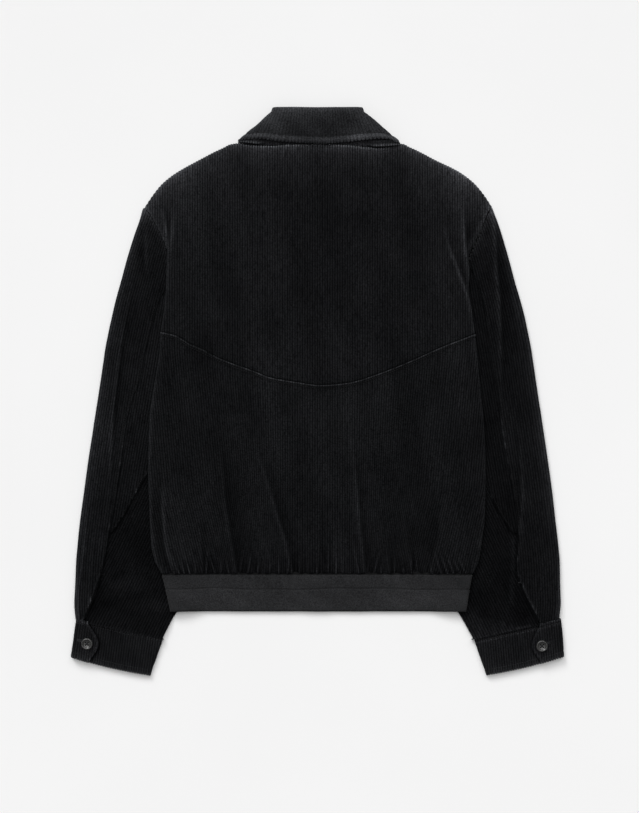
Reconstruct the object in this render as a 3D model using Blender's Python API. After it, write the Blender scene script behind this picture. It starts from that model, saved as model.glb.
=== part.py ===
"""Harrington jacket in corduroy, laid flat on its front with its sleeves tucked under its sides.

The frame is +X to the right of the back, +Y to the collar, +Z up from the surface it lies on, with
the origin under the middle. Sizes are in millimetres, and MM turns them into metres. A distance d
is measured from the centre line to either side, and y along the body from the middle.
"""

import math

import bmesh
import bpy
from mathutils import Vector

MM = 0.001

# Cloth and layers
CLOTH = 2.0  # corduroy wall
CUFF_CLOTH = 3.0  # double cloth
SEAM = 0.3  # gap between sewn pieces
SLEEVE_STACK = 5.8  # the sleeve under the body's side
STACK_RAMP = 34.0  # the body comes down to the surface in this width
STACK_MARGIN = 4.0

# How loosely the back lies over the layers under it
LOOSE_GAP = 1.3
CLIMB_GAP = 0.8  # more where the layers below climb over the sleeve
CHAIN_GAP = 1.0  # more over the zip's chain
NECK_GAP = 3.3  # more over the collar's front halves
SIDE_ZONE = 34.0  # beside the fold, where the gap opens

# Body, along y
SHOULDER_TIP = 243.0
ARMPIT = 8.4
BAND_TOP = -256.2
BAND_SEAM = -277.0
BAND_BOTTOM = -308.4
CENTRE_EDGE = 7.0  # half the width between the front edges

# Collar
COLLAR_TOP = 397.0
COLLAR_HALF = 112.0  # half the width of its lower edge
COLLAR_FOLD_HALF = 47.0  # and of the flat part of its top fold
COLLAR_STACK = 14.2  # four layers at its sides
COLLAR_MIDDLE = 12.0
COLLAR_ROLL = 3.0  # radius of the fold between fall and stand
STAND_INSET = 2.0  # the stand is narrower than the fall on each side
STAND_DEPTH = 5.8  # and lies this far inside it
STAND_CLOTH = 1.6
NECK_DROP = 80.0  # the front neck is this much lower than the back
NECK_SIDE = 344.6

# The hidden zip, from the waistband's lower edge to the neck
ZIP_TOP = 250.0
TAPE_HALF = 14.0
TAPE_BOTTOM = 2.8
TAPE_HEIGHT = 0.9
CHAIN_HALF = 3.0
CHAIN_BOTTOM = 2.0
SLIDER_PLACE = 258.0
PIN_HEIGHT = 1.4
TAB_LENGTH = 24.0

# The puckers above the waistband
GATHERS = 28
GATHER_FIRST = -203.0
GATHER_SPACING = 15.1
GATHER_REACH = 90.0
GATHER_HALF_WIDTH = 3.0

BUTTON_RADIUS = 8.2
BUTTON_HEIGHT = 3.4

LEFT = -1
RIGHT = 1


def smooth(value):
    value = min(max(value, 0.0), 1.0)
    return value * value * (3.0 - 2.0 * value)


def mix(first, second, share):
    return first + (second - first) * share


def curve(points):
    """A smooth curve through (key, value) points, which never overshoots them."""
    points = sorted(points)
    keys = [float(key) for key, _ in points]
    values = [float(value) for _, value in points]
    slopes = [
        (values[i + 1] - values[i]) / (keys[i + 1] - keys[i]) for i in range(len(keys) - 1)
    ]
    tangents = [slopes[0]]
    for before, after in zip(slopes, slopes[1:]):
        tangents.append(0.0 if before * after <= 0.0 else 2.0 * before * after / (before + after))
    tangents.append(slopes[-1])

    def at(key):
        if key <= keys[0]:
            return values[0]
        if key >= keys[-1]:
            return values[-1]
        i = max(k for k in range(len(keys) - 1) if keys[k] <= key)
        width = keys[i + 1] - keys[i]
        t = (key - keys[i]) / width
        rise = values[i + 1] - values[i]
        start, end = tangents[i] * width, tangents[i + 1] * width
        return (
            values[i]
            + t * start
            + t * t * (3.0 * rise - 2.0 * start - end)
            + t * t * t * (start + end - 2.0 * rise)
        )

    return at


def columns(names, *rows):
    """The named columns of a table, each as a curve over the table's first column."""
    names = names.split()
    return {
        name: curve([(row[0], row[i]) for row in rows if row[i] is not None])
        for i, name in enumerate(names)
        if i
    }


def by_side(table):
    return {LEFT: table["left"], RIGHT: table["right"]}


# The body's outline: the armhole edge down to y 186, then the fold at its side.
BODY_EDGE = by_side(
    columns(
        "y     left   right",
        (257, 243.0, 244.0),
        (251, 237.0, 239.0),
        (238, 229.5, 234.5),
        (219, 219.5, 227.5),
        (199, 211.0, 218.0),
        (186, 209.7, 212.3),
        (148, 211.0, 212.0),
        (113, 214.0, 215.0),
        (83, 218.0, 219.0),
        (54, 220.5, 222.0),
        (25, 225.0, 225.0),
        (-13, 231.0, 229.0),
        (-38, 234.5, 232.0),
        (-113, 235.6, 234.4),
        (-172, 234.5, 233.2),
        (-217, 231.7, 228.0),
        (-237, 227.0, 225.0),
        (-256, 218.0, 217.0),
        (-308, 206.0, 208.0),
    )
)

# How far the cloth turns round the side, in degrees, and the height of what lies under it.
BODY_SIDE = columns(
    "y    turn  stack  gap",
    (257, 0.0, 0.0, 0.8),
    (235, 0.0, 0.0, 1.2),
    (215, 0.0, 1.6, 1.8),
    (205, 30.0, 2.6, 2.2),
    (186, 90.0, 4.4, 2.8),
    (174, 150.0, 5.4, 2.8),
    (166, 180.0, 5.8, 2.8),
    (-320, 180.0, 5.8, 2.8),
)

# Hidden edges: where the cloth turned under ends, and the side seam below the armpit.
UNDER_EDGE = columns(
    "y   flap",
    (186, 207.0),
    (168, 201.0),
    (148, 193.0),
    (127, 187.0),
    (99, 184.0),
    (50, 179.5),
    (8.4, 179.2),
    (-38, 185.5),
    (-113, 188.0),
    (-180, 192.5),
    (-256, 198.0),
    (-308, 196.0),
)["flap"]

FRONT_ARMHOLE = columns(
    "y    front",
    (257, 243.0),
    (251, 236.0),
    (225, 220.5),
    (197, 206.5),
    (155, 195.3),
    (99, 189.7),
    (50, 184.1),
    (8.4, 179.2),
)["front"]

# The smile-shaped yoke seam and the top edge of the yoke, over x.
YOKE_SEAM = curve(
    [
        (-219, 82.5),
        (-198, 77.0),
        (-178, 65.5),
        (-159, 56.8),
        (-139, 46.3),
        (-87, 27.0),
        (-68, 19.6),
        (-30, 12.6),
        (5, 8.4),
        (41, 11.2),
        (86, 24.5),
        (137, 44.8),
        (178, 63.0),
        (208, 74.6),
        (220, 79.5),
    ]
)
YOKE_TOP = curve(
    [
        (-243, 256.0),
        (-232, 273.0),
        (-218, 290.0),
        (-197, 306.6),
        (-166, 323.4),
        (-145, 334.6),
        (-132, 340.4),
        (-122, 345.0),
        (-110, 345.8),
        (-96, 343.6),
        (-76, 342.7),
        (-60, 342.3),
        (-40, 344.0),
        (0, 344.4),
        (41, 343.3),
        (68, 340.6),
        (86, 339.8),
        (100, 341.6),
        (110, 344.6),
        (119, 345.0),
        (128, 340.8),
        (141, 334.8),
        (163, 323.4),
        (197, 306.6),
        (219, 290.0),
        (233, 273.0),
        (244, 256.0),
    ]
)

# The sleeve: outer fold, hidden inner fold, and its height under the body and where it is free.
SLEEVE = columns(
    "y     outer  inner  under free",
    (256, 243.0, None, 5.6, 5.8),
    (239, 249.0, None, 5.8, 6.2),
    (222, 255.0, None, 7.4, 7.0),
    (206, 260.0, None, 9.0, 7.6),
    (189, 265.3, None, 7.9, 8.0),
    (177, 268.8, None, 5.5, 8.0),
    (155, 274.5, None, 5.3, 8.0),
    (122, 283.5, None, 5.3, 8.0),
    (88, 291.0, None, 5.3, 8.0),
    (55, 298.0, None, 5.3, 8.0),
    (21, 303.2, None, 5.3, 8.0),
    (8, 305.0, 180.5, 5.3, 8.0),
    (-20, 309.2, 184.0, 5.3, 8.0),
    (-69, 316.8, 165.5, 5.3, 8.0),
    (-113, 323.4, 158.0, 5.3, 8.0),
    (-167, 330.5, 164.5, 5.3, 8.0),
    (-214, 336.0, 174.0, 5.3, 8.4),
    (-248, 338.7, 181.0, 5.3, 9.2),
    (-281, 339.5, 188.0, 5.3, 10.2),
    (-290, 339.9, 193.0, 5.3, 10.4),
    (-298, 340.2, 199.5, 5.3, 10.6),
    (-312, 340.0, 207.2, 5.3, 10.5),
    (-322, 339.0, 212.0, 6.6, 10.2),
    (-332, 338.2, 216.5, 8.0, 9.0),
    (-337, 338.0, 217.3, 8.0, 9.0),
)
SLEEVE_TOP = 253.0
CUFF_SEAM = -334.2
CUFF_SEAM_MIDDLE = 277.0
CUFF_TILT = 0.2254

# Seams on the sleeve's upper side, as distances from the centre line.
BACK_SEAM = by_side(
    columns(
        "y     left   right",
        (178, None, 208.0),
        (166, None, 217.5),
        (152, 197.0, 222.5),
        (140, 213.0, 226.4),
        (127, 220.5, 231.4),
        (79, 234.5, 238.2),
        (49, 242.0, 242.9),
        (15, 248.5, 248.5),
        (-15, 259.5, 254.5),
        (-46, 266.8, 256.5),
        (-92, 273.0, 264.0),
        (-126, 278.0, 270.5),
        (-160, 283.6, 276.5),
        (-202, 291.6, 280.0),
        (-252, 300.5, 281.3),
        (-276, 307.7, 286.5),
        (-297, 313.7, 294.5),
        (-323, 323.3, 307.0),
        (-337, 328.0, 312.0),
    )
)
WEDGE_SEAM = by_side(
    columns(
        "y     left   right",
        (8.4, 184.0, 184.0),
        (-14, 188.5, 188.5),
        (-46, 200.0, 198.5),
        (-69, 211.0, 206.5),
        (-112, 235.6, 225.0),
        (-134, 248.8, 235.6),
        (-155, 260.0, 246.0),
        (-178, 273.0, 258.7),
        (-204, 291.0, 277.0),
    )
)
SLEEVE_EDGE = by_side(
    columns(
        "y     left   right",
        (257, 243.0, 244.0),
        (251, 237.3, 239.3),
        (238, 229.8, 234.8),
        (219, 219.8, 227.8),
        (199, 211.8, 218.6),
        (186, 210.6, 213.0),
        (178, 210.4, 211.5),
        (168, 204.0, 206.0),
        (148, 194.0, 194.0),
        (127, 188.0, 188.0),
        (99, 185.0, 185.0),
        (50, 181.0, 181.0),
        (24, 182.0, 182.0),
        (8.4, 184.3, 184.3),
    )
)
GUSSET_TOP = {LEFT: 147.0, RIGHT: 172.0}
GUSSET_TIP = {LEFT: -199.0, RIGHT: -200.0}
GUSSET_ROWS = {
    side: [GUSSET_TOP[side]]
    + [126.0, 99.0, 74.0, 50.0, 24.0, ARMPIT + 0.4, 4.0, -14.0, -38.0]
    + [-62.0, -88.0, -114.0, -138.0, -160.0, -180.0, GUSSET_TIP[side] + 2.5]
    for side in (LEFT, RIGHT)
}
SLIT_TOP = {LEFT: -262.0, RIGHT: -270.0}

# Soft folds: the line each follows, its height (a trough below 0) and its half width.
BACK_FOLDS = (
    (((-218, 262), (-211, 228), (-207, 198)), 2.2, 7.0),
    (((206, 246), (208, 212), (209, 178)), 2.0, 7.0),
    (((-38, -250), (-60, -150), (-93, -50)), 2.0, 9.0),
    (((-119, -250), (-134, -180), (-146, -122)), 2.2, 9.0),
    (((68, -250), (55, -150), (47, -55)), 1.8, 9.0),
    (((-196, -246), (-186, -190), (-178, -120)), 1.6, 9.0),
    (((176, -246), (170, -200), (160, -130)), 1.6, 9.0),
    (((-205, 60), (-150, 20), (-90, -10)), 1.2, 12.0),
    (((205, 55), (160, 22), (110, -8)), 1.2, 12.0),
)
SLEEVE_FOLDS = {
    LEFT: (
        (((-281, 16), (-288, -64), (-293, -146), (-299, -180)), -1.6, 6.0),
        (((-324, -172), (-329, -220), (-333, -274)), -1.4, 5.0),
    ),
    RIGHT: (
        (((246, 246), (249, 190), (254, 122), (255, 40), (255, -26)), 1.8, 6.0),
        (((279, -34), (285, -97), (286, -146), (282, -220)), -1.6, 6.0),
    ),
}


def fold_height(folds, x, y):
    """The height that the soft folds add at a point, fading towards each fold's ends."""
    total = 0.0
    for line, height, half_width in folds:
        nearest, along = 1e9, 0.0
        for i, (start, end) in enumerate(zip(line, line[1:])):
            run = (end[0] - start[0], end[1] - start[1])
            share = ((x - start[0]) * run[0] + (y - start[1]) * run[1]) / (
                run[0] ** 2 + run[1] ** 2
            )
            share = min(max(share, 0.0), 1.0)
            away = math.hypot(x - start[0] - share * run[0], y - start[1] - share * run[1])
            if away < nearest:
                nearest, along = away, (i + share) / (len(line) - 1)
        fade = smooth(min(along, 1.0 - along) * 4.0 + 0.25)
        total += height * fade * math.exp(-((nearest / half_width) ** 2))
    return total


def gather_height(x, y):
    """The small puckers where the back is drawn into the waistband."""
    depth = y - BAND_TOP
    if depth > GATHER_REACH or depth < 0.0:
        return 0.0
    total = 0.0
    for k in range(GATHERS):
        place = GATHER_FIRST + GATHER_SPACING * k + 2.6 * math.sin(2.4 * k)
        length = 26.0 + 14.0 * math.sin(1.7 * k + 1.0)
        height = 1.6 + 0.5 * math.sin(2.9 * k)
        away = (x - place * (1.0 + 0.0006 * depth)) / GATHER_HALF_WIDTH
        total += height * math.exp(-away * away) * math.exp(-((depth / length) ** 2))
    return total


def stack_edge(y):
    """Where what lies under the body's side ends, with a margin."""
    if y >= ARMPIT:
        return UNDER_EDGE(y) - STACK_MARGIN
    tilt = CUFF_TILT * smooth((-150.0 - y) / (-150.0 - CUFF_SEAM))
    row = y + tilt * (CUFF_SEAM_MIDDLE - UNDER_EDGE(y))
    return SLEEVE["inner"](row) - STACK_MARGIN


def under_height(d, y, stack):
    """The underside of cloth that lies over the sleeve and comes down to the surface inwards."""
    return stack * (1.0 - smooth((stack_edge(y) - d) / STACK_RAMP))


def front_fold(d):
    """Where the top fold of the collar's front half is, under the back."""
    return COLLAR_TOP - NECK_DROP * (1.0 - min(d / COLLAR_FOLD_HALF, 1.0) ** 2)


def back_height(x, y):
    """The upper side of the back, over what lies under it."""
    side = LEFT if x < 0 else RIGHT
    d = abs(x)
    edge = BODY_EDGE[side](y)
    stack = under_height(min(d, edge), y, BODY_SIDE["stack"](y))
    near_side = smooth((d - edge + SIDE_ZONE) / (SIDE_ZONE - 10.0))
    gap = mix(LOOSE_GAP, BODY_SIDE["gap"](y), near_side)
    gap += CHAIN_GAP * (1.0 - smooth((d - CHAIN_HALF - 7.0) / TAPE_HALF))
    climb = stack / SLEEVE_STACK
    gap += 4.0 * CLIMB_GAP * climb * (1.0 - climb)
    neck = NECK_GAP * (1.0 - smooth((d - COLLAR_HALF + 8.0) / 24.0))
    neck *= smooth((y - ZIP_TOP + 28.0) / 34.0) * (1.0 - smooth((y - front_fold(d) - 4.0) / 20.0))
    loose = fold_height(BACK_FOLDS, x, y) * (1.0 - 0.75 * near_side)
    return stack + 2.0 * CLOTH + gap + neck + loose


def side_turn(side, y, edge, top, bottom, flap):
    """The cloth from its upper side round the fold and back under it, as (distance, height)."""
    radius = (top - bottom) / 2.0
    turn = math.radians(BODY_SIDE["turn"](y))
    centre = edge - radius * math.sin(min(turn, math.pi / 2.0))
    points = []
    steps = math.ceil(turn / math.radians(46.0))
    for k in range(1, steps + 1):
        angle = turn * k / steps
        points.append(
            (centre + radius * math.sin(angle), top - radius * (1.0 - math.cos(angle)))
        )
    if flap is not None and turn > math.radians(170.0):
        for share in (0.5, 1.0):
            points.append((mix(centre, flap, share), bottom))
    return centre, points


def path_row(points):
    """A row of cloth: its points with the distance along it from the middle of the row's top."""
    row = []
    length = 0.0
    for i, point in enumerate(points):
        if i:
            length += math.dist(point, points[i - 1])
        row.append([length, point])
    return row


def centred(row, key):
    """Counts a row's distance from the point nearest to the given x."""
    zero = min(row, key=lambda entry: (abs(entry[1][0] - key), -entry[1][2]))[0]
    return [(length - zero, point) for length, point in row]


def stitch_rows(rows, flip):
    """Faces between rows that may differ in their number of points."""
    vertices = []
    starts = []
    for row in rows:
        starts.append(len(vertices))
        vertices.extend(point for _, point in row)
    faces = []
    for k in range(len(rows) - 1):
        upper, lower = rows[k], rows[k + 1]
        i = j = 0
        same = len(upper) == len(lower)
        while i < len(upper) - 1 or j < len(lower) - 1:
            a, b = starts[k] + i, starts[k + 1] + j
            if same:
                faces.append((a, b, b + 1, a + 1))
                i += 1
                j += 1
                continue
            can_upper = i < len(upper) - 1
            can_lower = j < len(lower) - 1
            if can_upper and (not can_lower or upper[i + 1][0] <= lower[j + 1][0]):
                faces.append((a, b, a + 1))
                i += 1
            else:
                faces.append((a, b, b + 1))
                j += 1
    if flip:
        faces = [face[::-1] for face in faces]
    return vertices, faces


MATERIALS = {}


def material(name, colour, roughness):
    if name not in MATERIALS:
        made = bpy.data.materials.new(name)
        made.use_nodes = True
        shader = made.node_tree.nodes["Principled BSDF"]
        shader.inputs["Base Color"].default_value = (*colour, 1.0)
        shader.inputs["Roughness"].default_value = roughness
        MATERIALS[name] = made
    return MATERIALS[name]


def add_object(name, mesh, finish):
    made = bpy.data.objects.new(name, mesh)
    made.data.materials.append(material(*finish))
    bpy.context.scene.collection.objects.link(made)
    return made


CORDUROY = ("corduroy", (0.008, 0.008, 0.009), 0.9)
BAND_CLOTH = ("band_cloth", (0.018, 0.018, 0.02), 0.8)
HORN = ("button_plastic", (0.025, 0.025, 0.024), 0.35)
ZIP_CLOTH = ("zip_tape", (0.01, 0.01, 0.01), 0.8)
ZIP_METAL = ("zip_metal", (0.3, 0.3, 0.3), 0.35)


def cloth(name, rows, finish, flip=False, wall=CLOTH):
    """One piece of cloth: the rows give its outer side, and the wall lies behind it."""
    vertices, faces = stitch_rows(rows, flip)
    mesh = bpy.data.meshes.new(name)
    mesh.from_pydata([Vector(point) * MM for point in vertices], [], faces)
    mesh.shade_smooth()
    made = add_object(name, mesh, finish)
    thick = made.modifiers.new("wall", "SOLIDIFY")
    thick.thickness = wall * MM
    thick.offset = -1.0
    return made


def back_row(y_at, shares, turn_y, top_extra=0.0):
    """A row of the back from under its left side, over the top, to under its right side.

    y_at(x) gives the row's place, shares run from -1 at the left fold to 1 at the right fold, and
    turn_y gives the place of the turned-under cloth on each side.
    """
    ends = {}
    for side in (LEFT, RIGHT):
        y = turn_y[side]
        edge = BODY_EDGE[side](y) - (SEAM if BODY_SIDE["turn"](y) < 1.0 else 0.0)
        top = back_height(side * edge, y) + top_extra
        bottom = under_height(edge, y, BODY_SIDE["stack"](y))
        flap = UNDER_EDGE(y) + SEAM / 2.0
        centre, turned = side_turn(side, y, edge, top, bottom, flap)
        ends[side] = (centre, [(side * d, y, z) for d, z in turned])
    points = list(reversed(ends[LEFT][1]))
    for share in shares:
        x = share * ends[LEFT if share < 0 else RIGHT][0]
        y = y_at(x, share)
        points.append((x, y, back_height(x, y) + top_extra))
    points.extend(ends[RIGHT][1])
    return centred(path_row(points), 0.0)


# Rows below the yoke's ends, shared by the back and the fronts so that the side seams match.
SIDE_ROWS = (81.0, 55.0, 30.0, 8.4, -16.0, -42.0, -76.0, -112.0, -150.0, -188.0)
SIDE_ROWS += (-218.0, -240.0, BAND_TOP + SEAM)
ARMHOLE_ROWS = (253.0, 238.0, 219.0, 199.0, 187.0, 176.0, 162.0, 148.0, 118.0)


def even_shares(count):
    return [-1.0 + 2.0 * k / count for k in range(count + 1)]


def back_shares(count):
    """Shares from side to side, closer together near the folds."""
    return [math.copysign(abs(s) ** 0.82, s) for s in even_shares(count)]


# The yoke's upper edge turns down round the shoulder: each row's distance from the edge, and its
# share of the drop.
SHOULDER_ROLL = ((0.0, 1.0), (0.05, 0.5), (0.9, 0.15), (3.2, 0.0))
SHOULDER_WALL = CLOTH + SEAM + 1.3


def edge_drop(x, height):
    """How far the yoke's upper edge turns down: to the surface at a shoulder, little at the neck."""
    return mix(1.6, height - SEAM, smooth((abs(x) - 114.0) / 10.0))


def make_back_yoke():
    rows = []
    last = SHOULDER_ROLL[-1][0]
    places = [(offset, drop, 0.0) for offset, drop in SHOULDER_ROLL]
    places += [(last, 0.0, share) for share in (0.07, 0.16, 0.27, 0.38, 0.5, 0.62, 0.74, 0.87, 1.0)]
    for offset, drop, share in places:

        def y_at(x, across, offset=offset, share=share):
            top = YOKE_TOP(across * SHOULDER_TIP)
            seam = YOKE_SEAM(across * 218.0) + SEAM + 0.1
            return mix(top - offset, seam, share)

        turn_y = {side: y_at(0.0, float(side)) for side in (LEFT, RIGHT)}
        row = back_row(y_at, back_shares(24), turn_y)
        rows.append([(s, (x, y, z - drop * edge_drop(x, z))) for s, (x, y, z) in row])
    return cloth("back_yoke", rows, CORDUROY)


def make_back_lower():
    rows = []
    for place in SIDE_ROWS:
        share = (SIDE_ROWS[0] - place) / (SIDE_ROWS[0] - SIDE_ROWS[-1])
        count = 112 if place < -214.0 else 56 if place < -180.0 else 28

        def y_at(x, across, share=share):
            return mix(YOKE_SEAM(across * 218.0) - SEAM, BAND_TOP + SEAM, share)

        turn_y = {LEFT: place, RIGHT: place}
        if share == 0.0:
            turn_y = {side: y_at(0.0, float(side)) for side in (LEFT, RIGHT)}
        shares = even_shares(count) if count > 28 else back_shares(count)
        row = back_row(y_at, shares, turn_y)
        rows.append([(s, (x, y, z + gather_height(x, y))) for s, (x, y, z) in row])
    return cloth("back_lower", rows, CORDUROY)


def make_waistband_back():
    rows = []
    for y, swell in (
        (BAND_TOP - SEAM, 0.0),
        (-262.0, 0.7),
        (-270.0, 0.8),
        (BAND_SEAM, 0.0),
        (-284.0, 0.7),
        (-298.0, 0.8),
        (BAND_BOTTOM, 0.0),
    ):
        turn_y = {LEFT: y, RIGHT: y}
        rows.append(back_row(lambda x, share, y=y: y, back_shares(20), turn_y, swell))
    return cloth("waistband_back", rows, BAND_CLOTH)


def front_height(d, y):
    """The underside of a front: on the surface, and over the sleeve below the armpit."""
    if y >= ARMPIT:
        lift = 2.9 * (1.0 - smooth((y - ARMPIT) / 16.0))
        return lift * (1.0 - smooth((FRONT_ARMHOLE(y) - d) / 30.0))
    stack = mix(2.9, SLEEVE_STACK, smooth((ARMPIT - y) / 28.0))
    return under_height(d, y, stack)


def front_neck(d):
    if d >= COLLAR_HALF:
        return NECK_SIDE
    return NECK_SIDE - NECK_DROP * (1.0 - (d / COLLAR_HALF) ** 2)


def front_top(side, d):
    """The upper edge of a front: the neck, then the shoulder."""
    return min(front_neck(d), YOKE_TOP(side * d)) if d < 121.0 else YOKE_TOP(side * d)


def shoulder_line(side, d):
    """Where a front's upper edge is, inside the yoke's turned-down edge."""
    steep = (front_top(side, d + 1.0) - front_top(side, d - 1.0)) / 2.0
    return front_top(side, d) - SHOULDER_WALL * math.hypot(1.0, steep)


def front_columns(end, y):
    """Distances of a front's columns, closest together where it climbs over the sleeve."""
    edge = min(stack_edge(y), end - 8.0)
    climb = [edge - STACK_RAMP * share for share in (1.0, 0.75, 0.5, 0.25, 0.0)]
    return [CENTRE_EDGE, 50.0, 95.0] + climb + [mix(edge, end, 0.5), end]


def make_front(side):
    rows = []
    for place in ARMHOLE_ROWS + SIDE_ROWS:
        end = (FRONT_ARMHOLE(place) if place > ARMPIT else UNDER_EDGE(place)) - SEAM / 2.0
        share = (ARMHOLE_ROWS[0] - place) / (ARMHOLE_ROWS[0] - SIDE_ROWS[-1])
        points = []
        for d in front_columns(end, place):
            top = shoulder_line(side, d * FRONT_ARMHOLE(ARMHOLE_ROWS[0]) / end)
            y = place if d == end else mix(top, SIDE_ROWS[-1], share)
            points.append((side * d, y, front_height(d, y)))
        rows.append(path_row(points))
    name = "front_left" if side == LEFT else "front_right"
    return cloth(name, rows, CORDUROY, flip=side == RIGHT)


def make_waistband_front(side):
    rows = []
    for y in (BAND_TOP - SEAM, BAND_SEAM, BAND_BOTTOM):
        columns_at = front_columns(UNDER_EDGE(y) - SEAM / 2.0, y)
        rows.append(path_row([(side * d, y, front_height(d, y)) for d in columns_at]))
    name = "waistband_front_left" if side == LEFT else "waistband_front_right"
    return cloth(name, rows, BAND_CLOTH, flip=side == RIGHT)


def sleeve_height(side, d, y):
    """The upper side of a sleeve, pressed flat under the body and free beside it."""
    edge = BODY_EDGE[side](y) if y > BAND_BOTTOM else BODY_EDGE[side](BAND_BOTTOM)
    free = smooth((d - edge + 3.0) / 26.0)
    height = mix(SLEEVE["under"](y), SLEEVE["free"](y), free)
    return height + fold_height(SLEEVE_FOLDS[side], side * d, y) * free


def sleeve_place(d, y):
    """The y of a point in a sleeve's row, which tilts towards the cuff's seam."""
    tilt = CUFF_TILT * smooth((-150.0 - y) / (-150.0 - CUFF_SEAM))
    return y + tilt * (d - CUFF_SEAM_MIDDLE)


def half_turn(centre, radius, outwards, rising):
    """Points round a sleeve's fold between its lower and upper sides, both ends left out."""
    points = []
    for k in (1, 2, 3):
        angle = math.pi * k / 4.0
        z = radius * (1.0 - math.cos(angle))
        if not rising:
            z = 2.0 * radius - z
        points.append((centre + outwards * radius * math.sin(angle), z))
    return points


def upper_distances(side, y, start, end, count):
    """Distances across a sleeve's upper side, with extra ones where it dips under the body."""
    edge = BODY_EDGE[side](max(y, BAND_BOTTOM))
    found = [mix(start, end, k / count) for k in range(count + 1)]
    for extra in (edge - 3.0, edge + 6.0, edge + 16.0):
        if min(start, end) + 3.0 < extra < max(start, end) - 3.0:
            found = [d for d in found if abs(d - extra) > 3.0 or d in (start, end)]
            found.append(extra)
    return sorted(found, reverse=start > end)


def sleeve_row(side, y, closed, top_end, top_start):
    """A row of the sleeve, from its seam on the upper side round the inner and outer folds."""
    def height(d):
        return sleeve_height(side, d, sleeve_place(d, y))

    outer = SLEEVE["outer"](y)
    outer_radius = height(outer) / 2.0
    outer_centre = outer - outer_radius
    lower = []
    if closed:
        inner = SLEEVE["inner"](y)
        radius = height(inner) / 2.0
        centre = inner + radius
        start = centre
        if top_start - centre > 1.0:
            lower += [(d, height(d)) for d in upper_distances(side, y, top_start, centre, 2)]
        else:
            lower.append((centre, 2.0 * radius))
        lower += half_turn(centre, radius, -1.0, rising=False)
    else:
        start = FRONT_ARMHOLE(y) + SEAM / 2.0
    lower += [(mix(start, outer_centre, k / 2.0), 0.0) for k in range(3)]
    turn = half_turn(outer_centre, outer_radius, 1.0, rising=True)
    upper = [(d, height(d)) for d in upper_distances(side, y, outer_centre, top_end, 4)]
    points = [(side * d, sleeve_place(d, y), z) for d, z in lower + turn + upper]
    row = path_row(points)
    zero = row[len(lower) + 1][0]
    return [(length - zero, point) for length, point in row]


def make_sleeve(side):
    rows = []
    gusset_top, gusset_tip = GUSSET_TOP[side], GUSSET_TIP[side]
    slit_top = SLIT_TOP[side]
    places = [place for place in ARMHOLE_ROWS if place > gusset_top + 6.0]
    places += [place for place in ARMHOLE_ROWS if 140.0 < place < gusset_top - 6.0]
    places += GUSSET_ROWS[side] + [gusset_tip - 3.0, -230.0, slit_top + 1.0, slit_top - 7.0]
    places += [-292.0, -299.0, -307.0, -320.0, -332.0, CUFF_SEAM + SEAM]
    for y in sorted(places, reverse=True):
        closed = y < ARMPIT
        top_end = (SLEEVE_EDGE if y > gusset_top + 4.0 else BACK_SEAM)[side](y) + SEAM
        if y < gusset_tip:
            slit = 3.0 * smooth((SLIT_TOP[side] - y) / 8.0)
            top_start = BACK_SEAM[side](y) - SEAM - slit
        else:
            top_start = WEDGE_SEAM[side](y) if closed else 0.0
        rows.append(sleeve_row(side, y, closed, top_end, top_start))
    name = "sleeve_left" if side == LEFT else "sleeve_right"
    return cloth(name, rows, CORDUROY, flip=side == RIGHT)


def make_gusset(side):
    rows = []
    for y in GUSSET_ROWS[side]:
        inner = (SLEEVE_EDGE if y >= ARMPIT else WEDGE_SEAM)[side](y) + SEAM
        outer = BACK_SEAM[side](y) - SEAM
        points = []
        for d in upper_distances(side, y, outer, inner, 3):
            place = sleeve_place(d, y)
            points.append((side * d, place, sleeve_height(side, d, place)))
        rows.append(path_row(points))
    name = "gusset_left" if side == LEFT else "gusset_right"
    return cloth(name, rows, CORDUROY, flip=side == RIGHT)


def make_placket(side):
    """The strip under the open slit above the cuff."""
    rows = []
    for y in (SLIT_TOP[side] + 2.0, -285.0, -305.0, -328.0):
        middle = BACK_SEAM[side](y) - 1.0
        points = []
        for off in (8.0, 0.0, -8.0):
            d = middle + off
            place = sleeve_place(d, y)
            z = min(sleeve_height(side, k, place) for k in (d - 4.0, d, d + 4.0)) - CLOTH - 0.6
            points.append((side * d, sleeve_place(d, y), z))
        rows.append(path_row(points))
    name = "placket_left" if side == LEFT else "placket_right"
    return cloth(name, rows, BAND_CLOTH, flip=side == RIGHT, wall=1.2)


# Each cuff: its four corners and the width of the pointed tab along its height.
CUFFS = {
    LEFT: {
        "outer_top": (337.6, -320.4),
        "inner_top": (217.3, -347.8),
        "inner_low": (234.5, -396.7),
        "outer_low": (344.8, -371.0),
        "tab": curve([(0.0, 17.0), (0.5, 36.0), (1.0, 26.0)]),
    },
    RIGHT: {
        "outer_top": (340.6, -320.2),
        "inner_top": (220.0, -347.6),
        "inner_low": (236.9, -396.3),
        "outer_low": (344.8, -370.0),
        "tab": curve([(0.0, 30.0), (0.5, 44.0), (1.0, 33.0)]),
    },
}
CUFF_BOW = 2.6  # how much lower the middle of a cuff's lower edge lies
CUFF_BAND_TOP = 7.4
CUFF_TAB_TOP = 10.7
BUTTON_PLACE = {LEFT: (322.1, -353.2), RIGHT: (313.6, -356.3)}


def cuff_point(side, along, down):
    """A point on the cuff's plan: along from its outer fold, and down from its seam."""
    corners = CUFFS[side]
    top = [mix(*pair, along) for pair in zip(corners["outer_top"], corners["inner_top"])]
    low = [mix(*pair, along) for pair in zip(corners["outer_low"], corners["inner_low"])]
    low[1] -= CUFF_BOW * 4.0 * along * (1.0 - along)
    return [mix(*pair, down) for pair in zip(top, low)]


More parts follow.
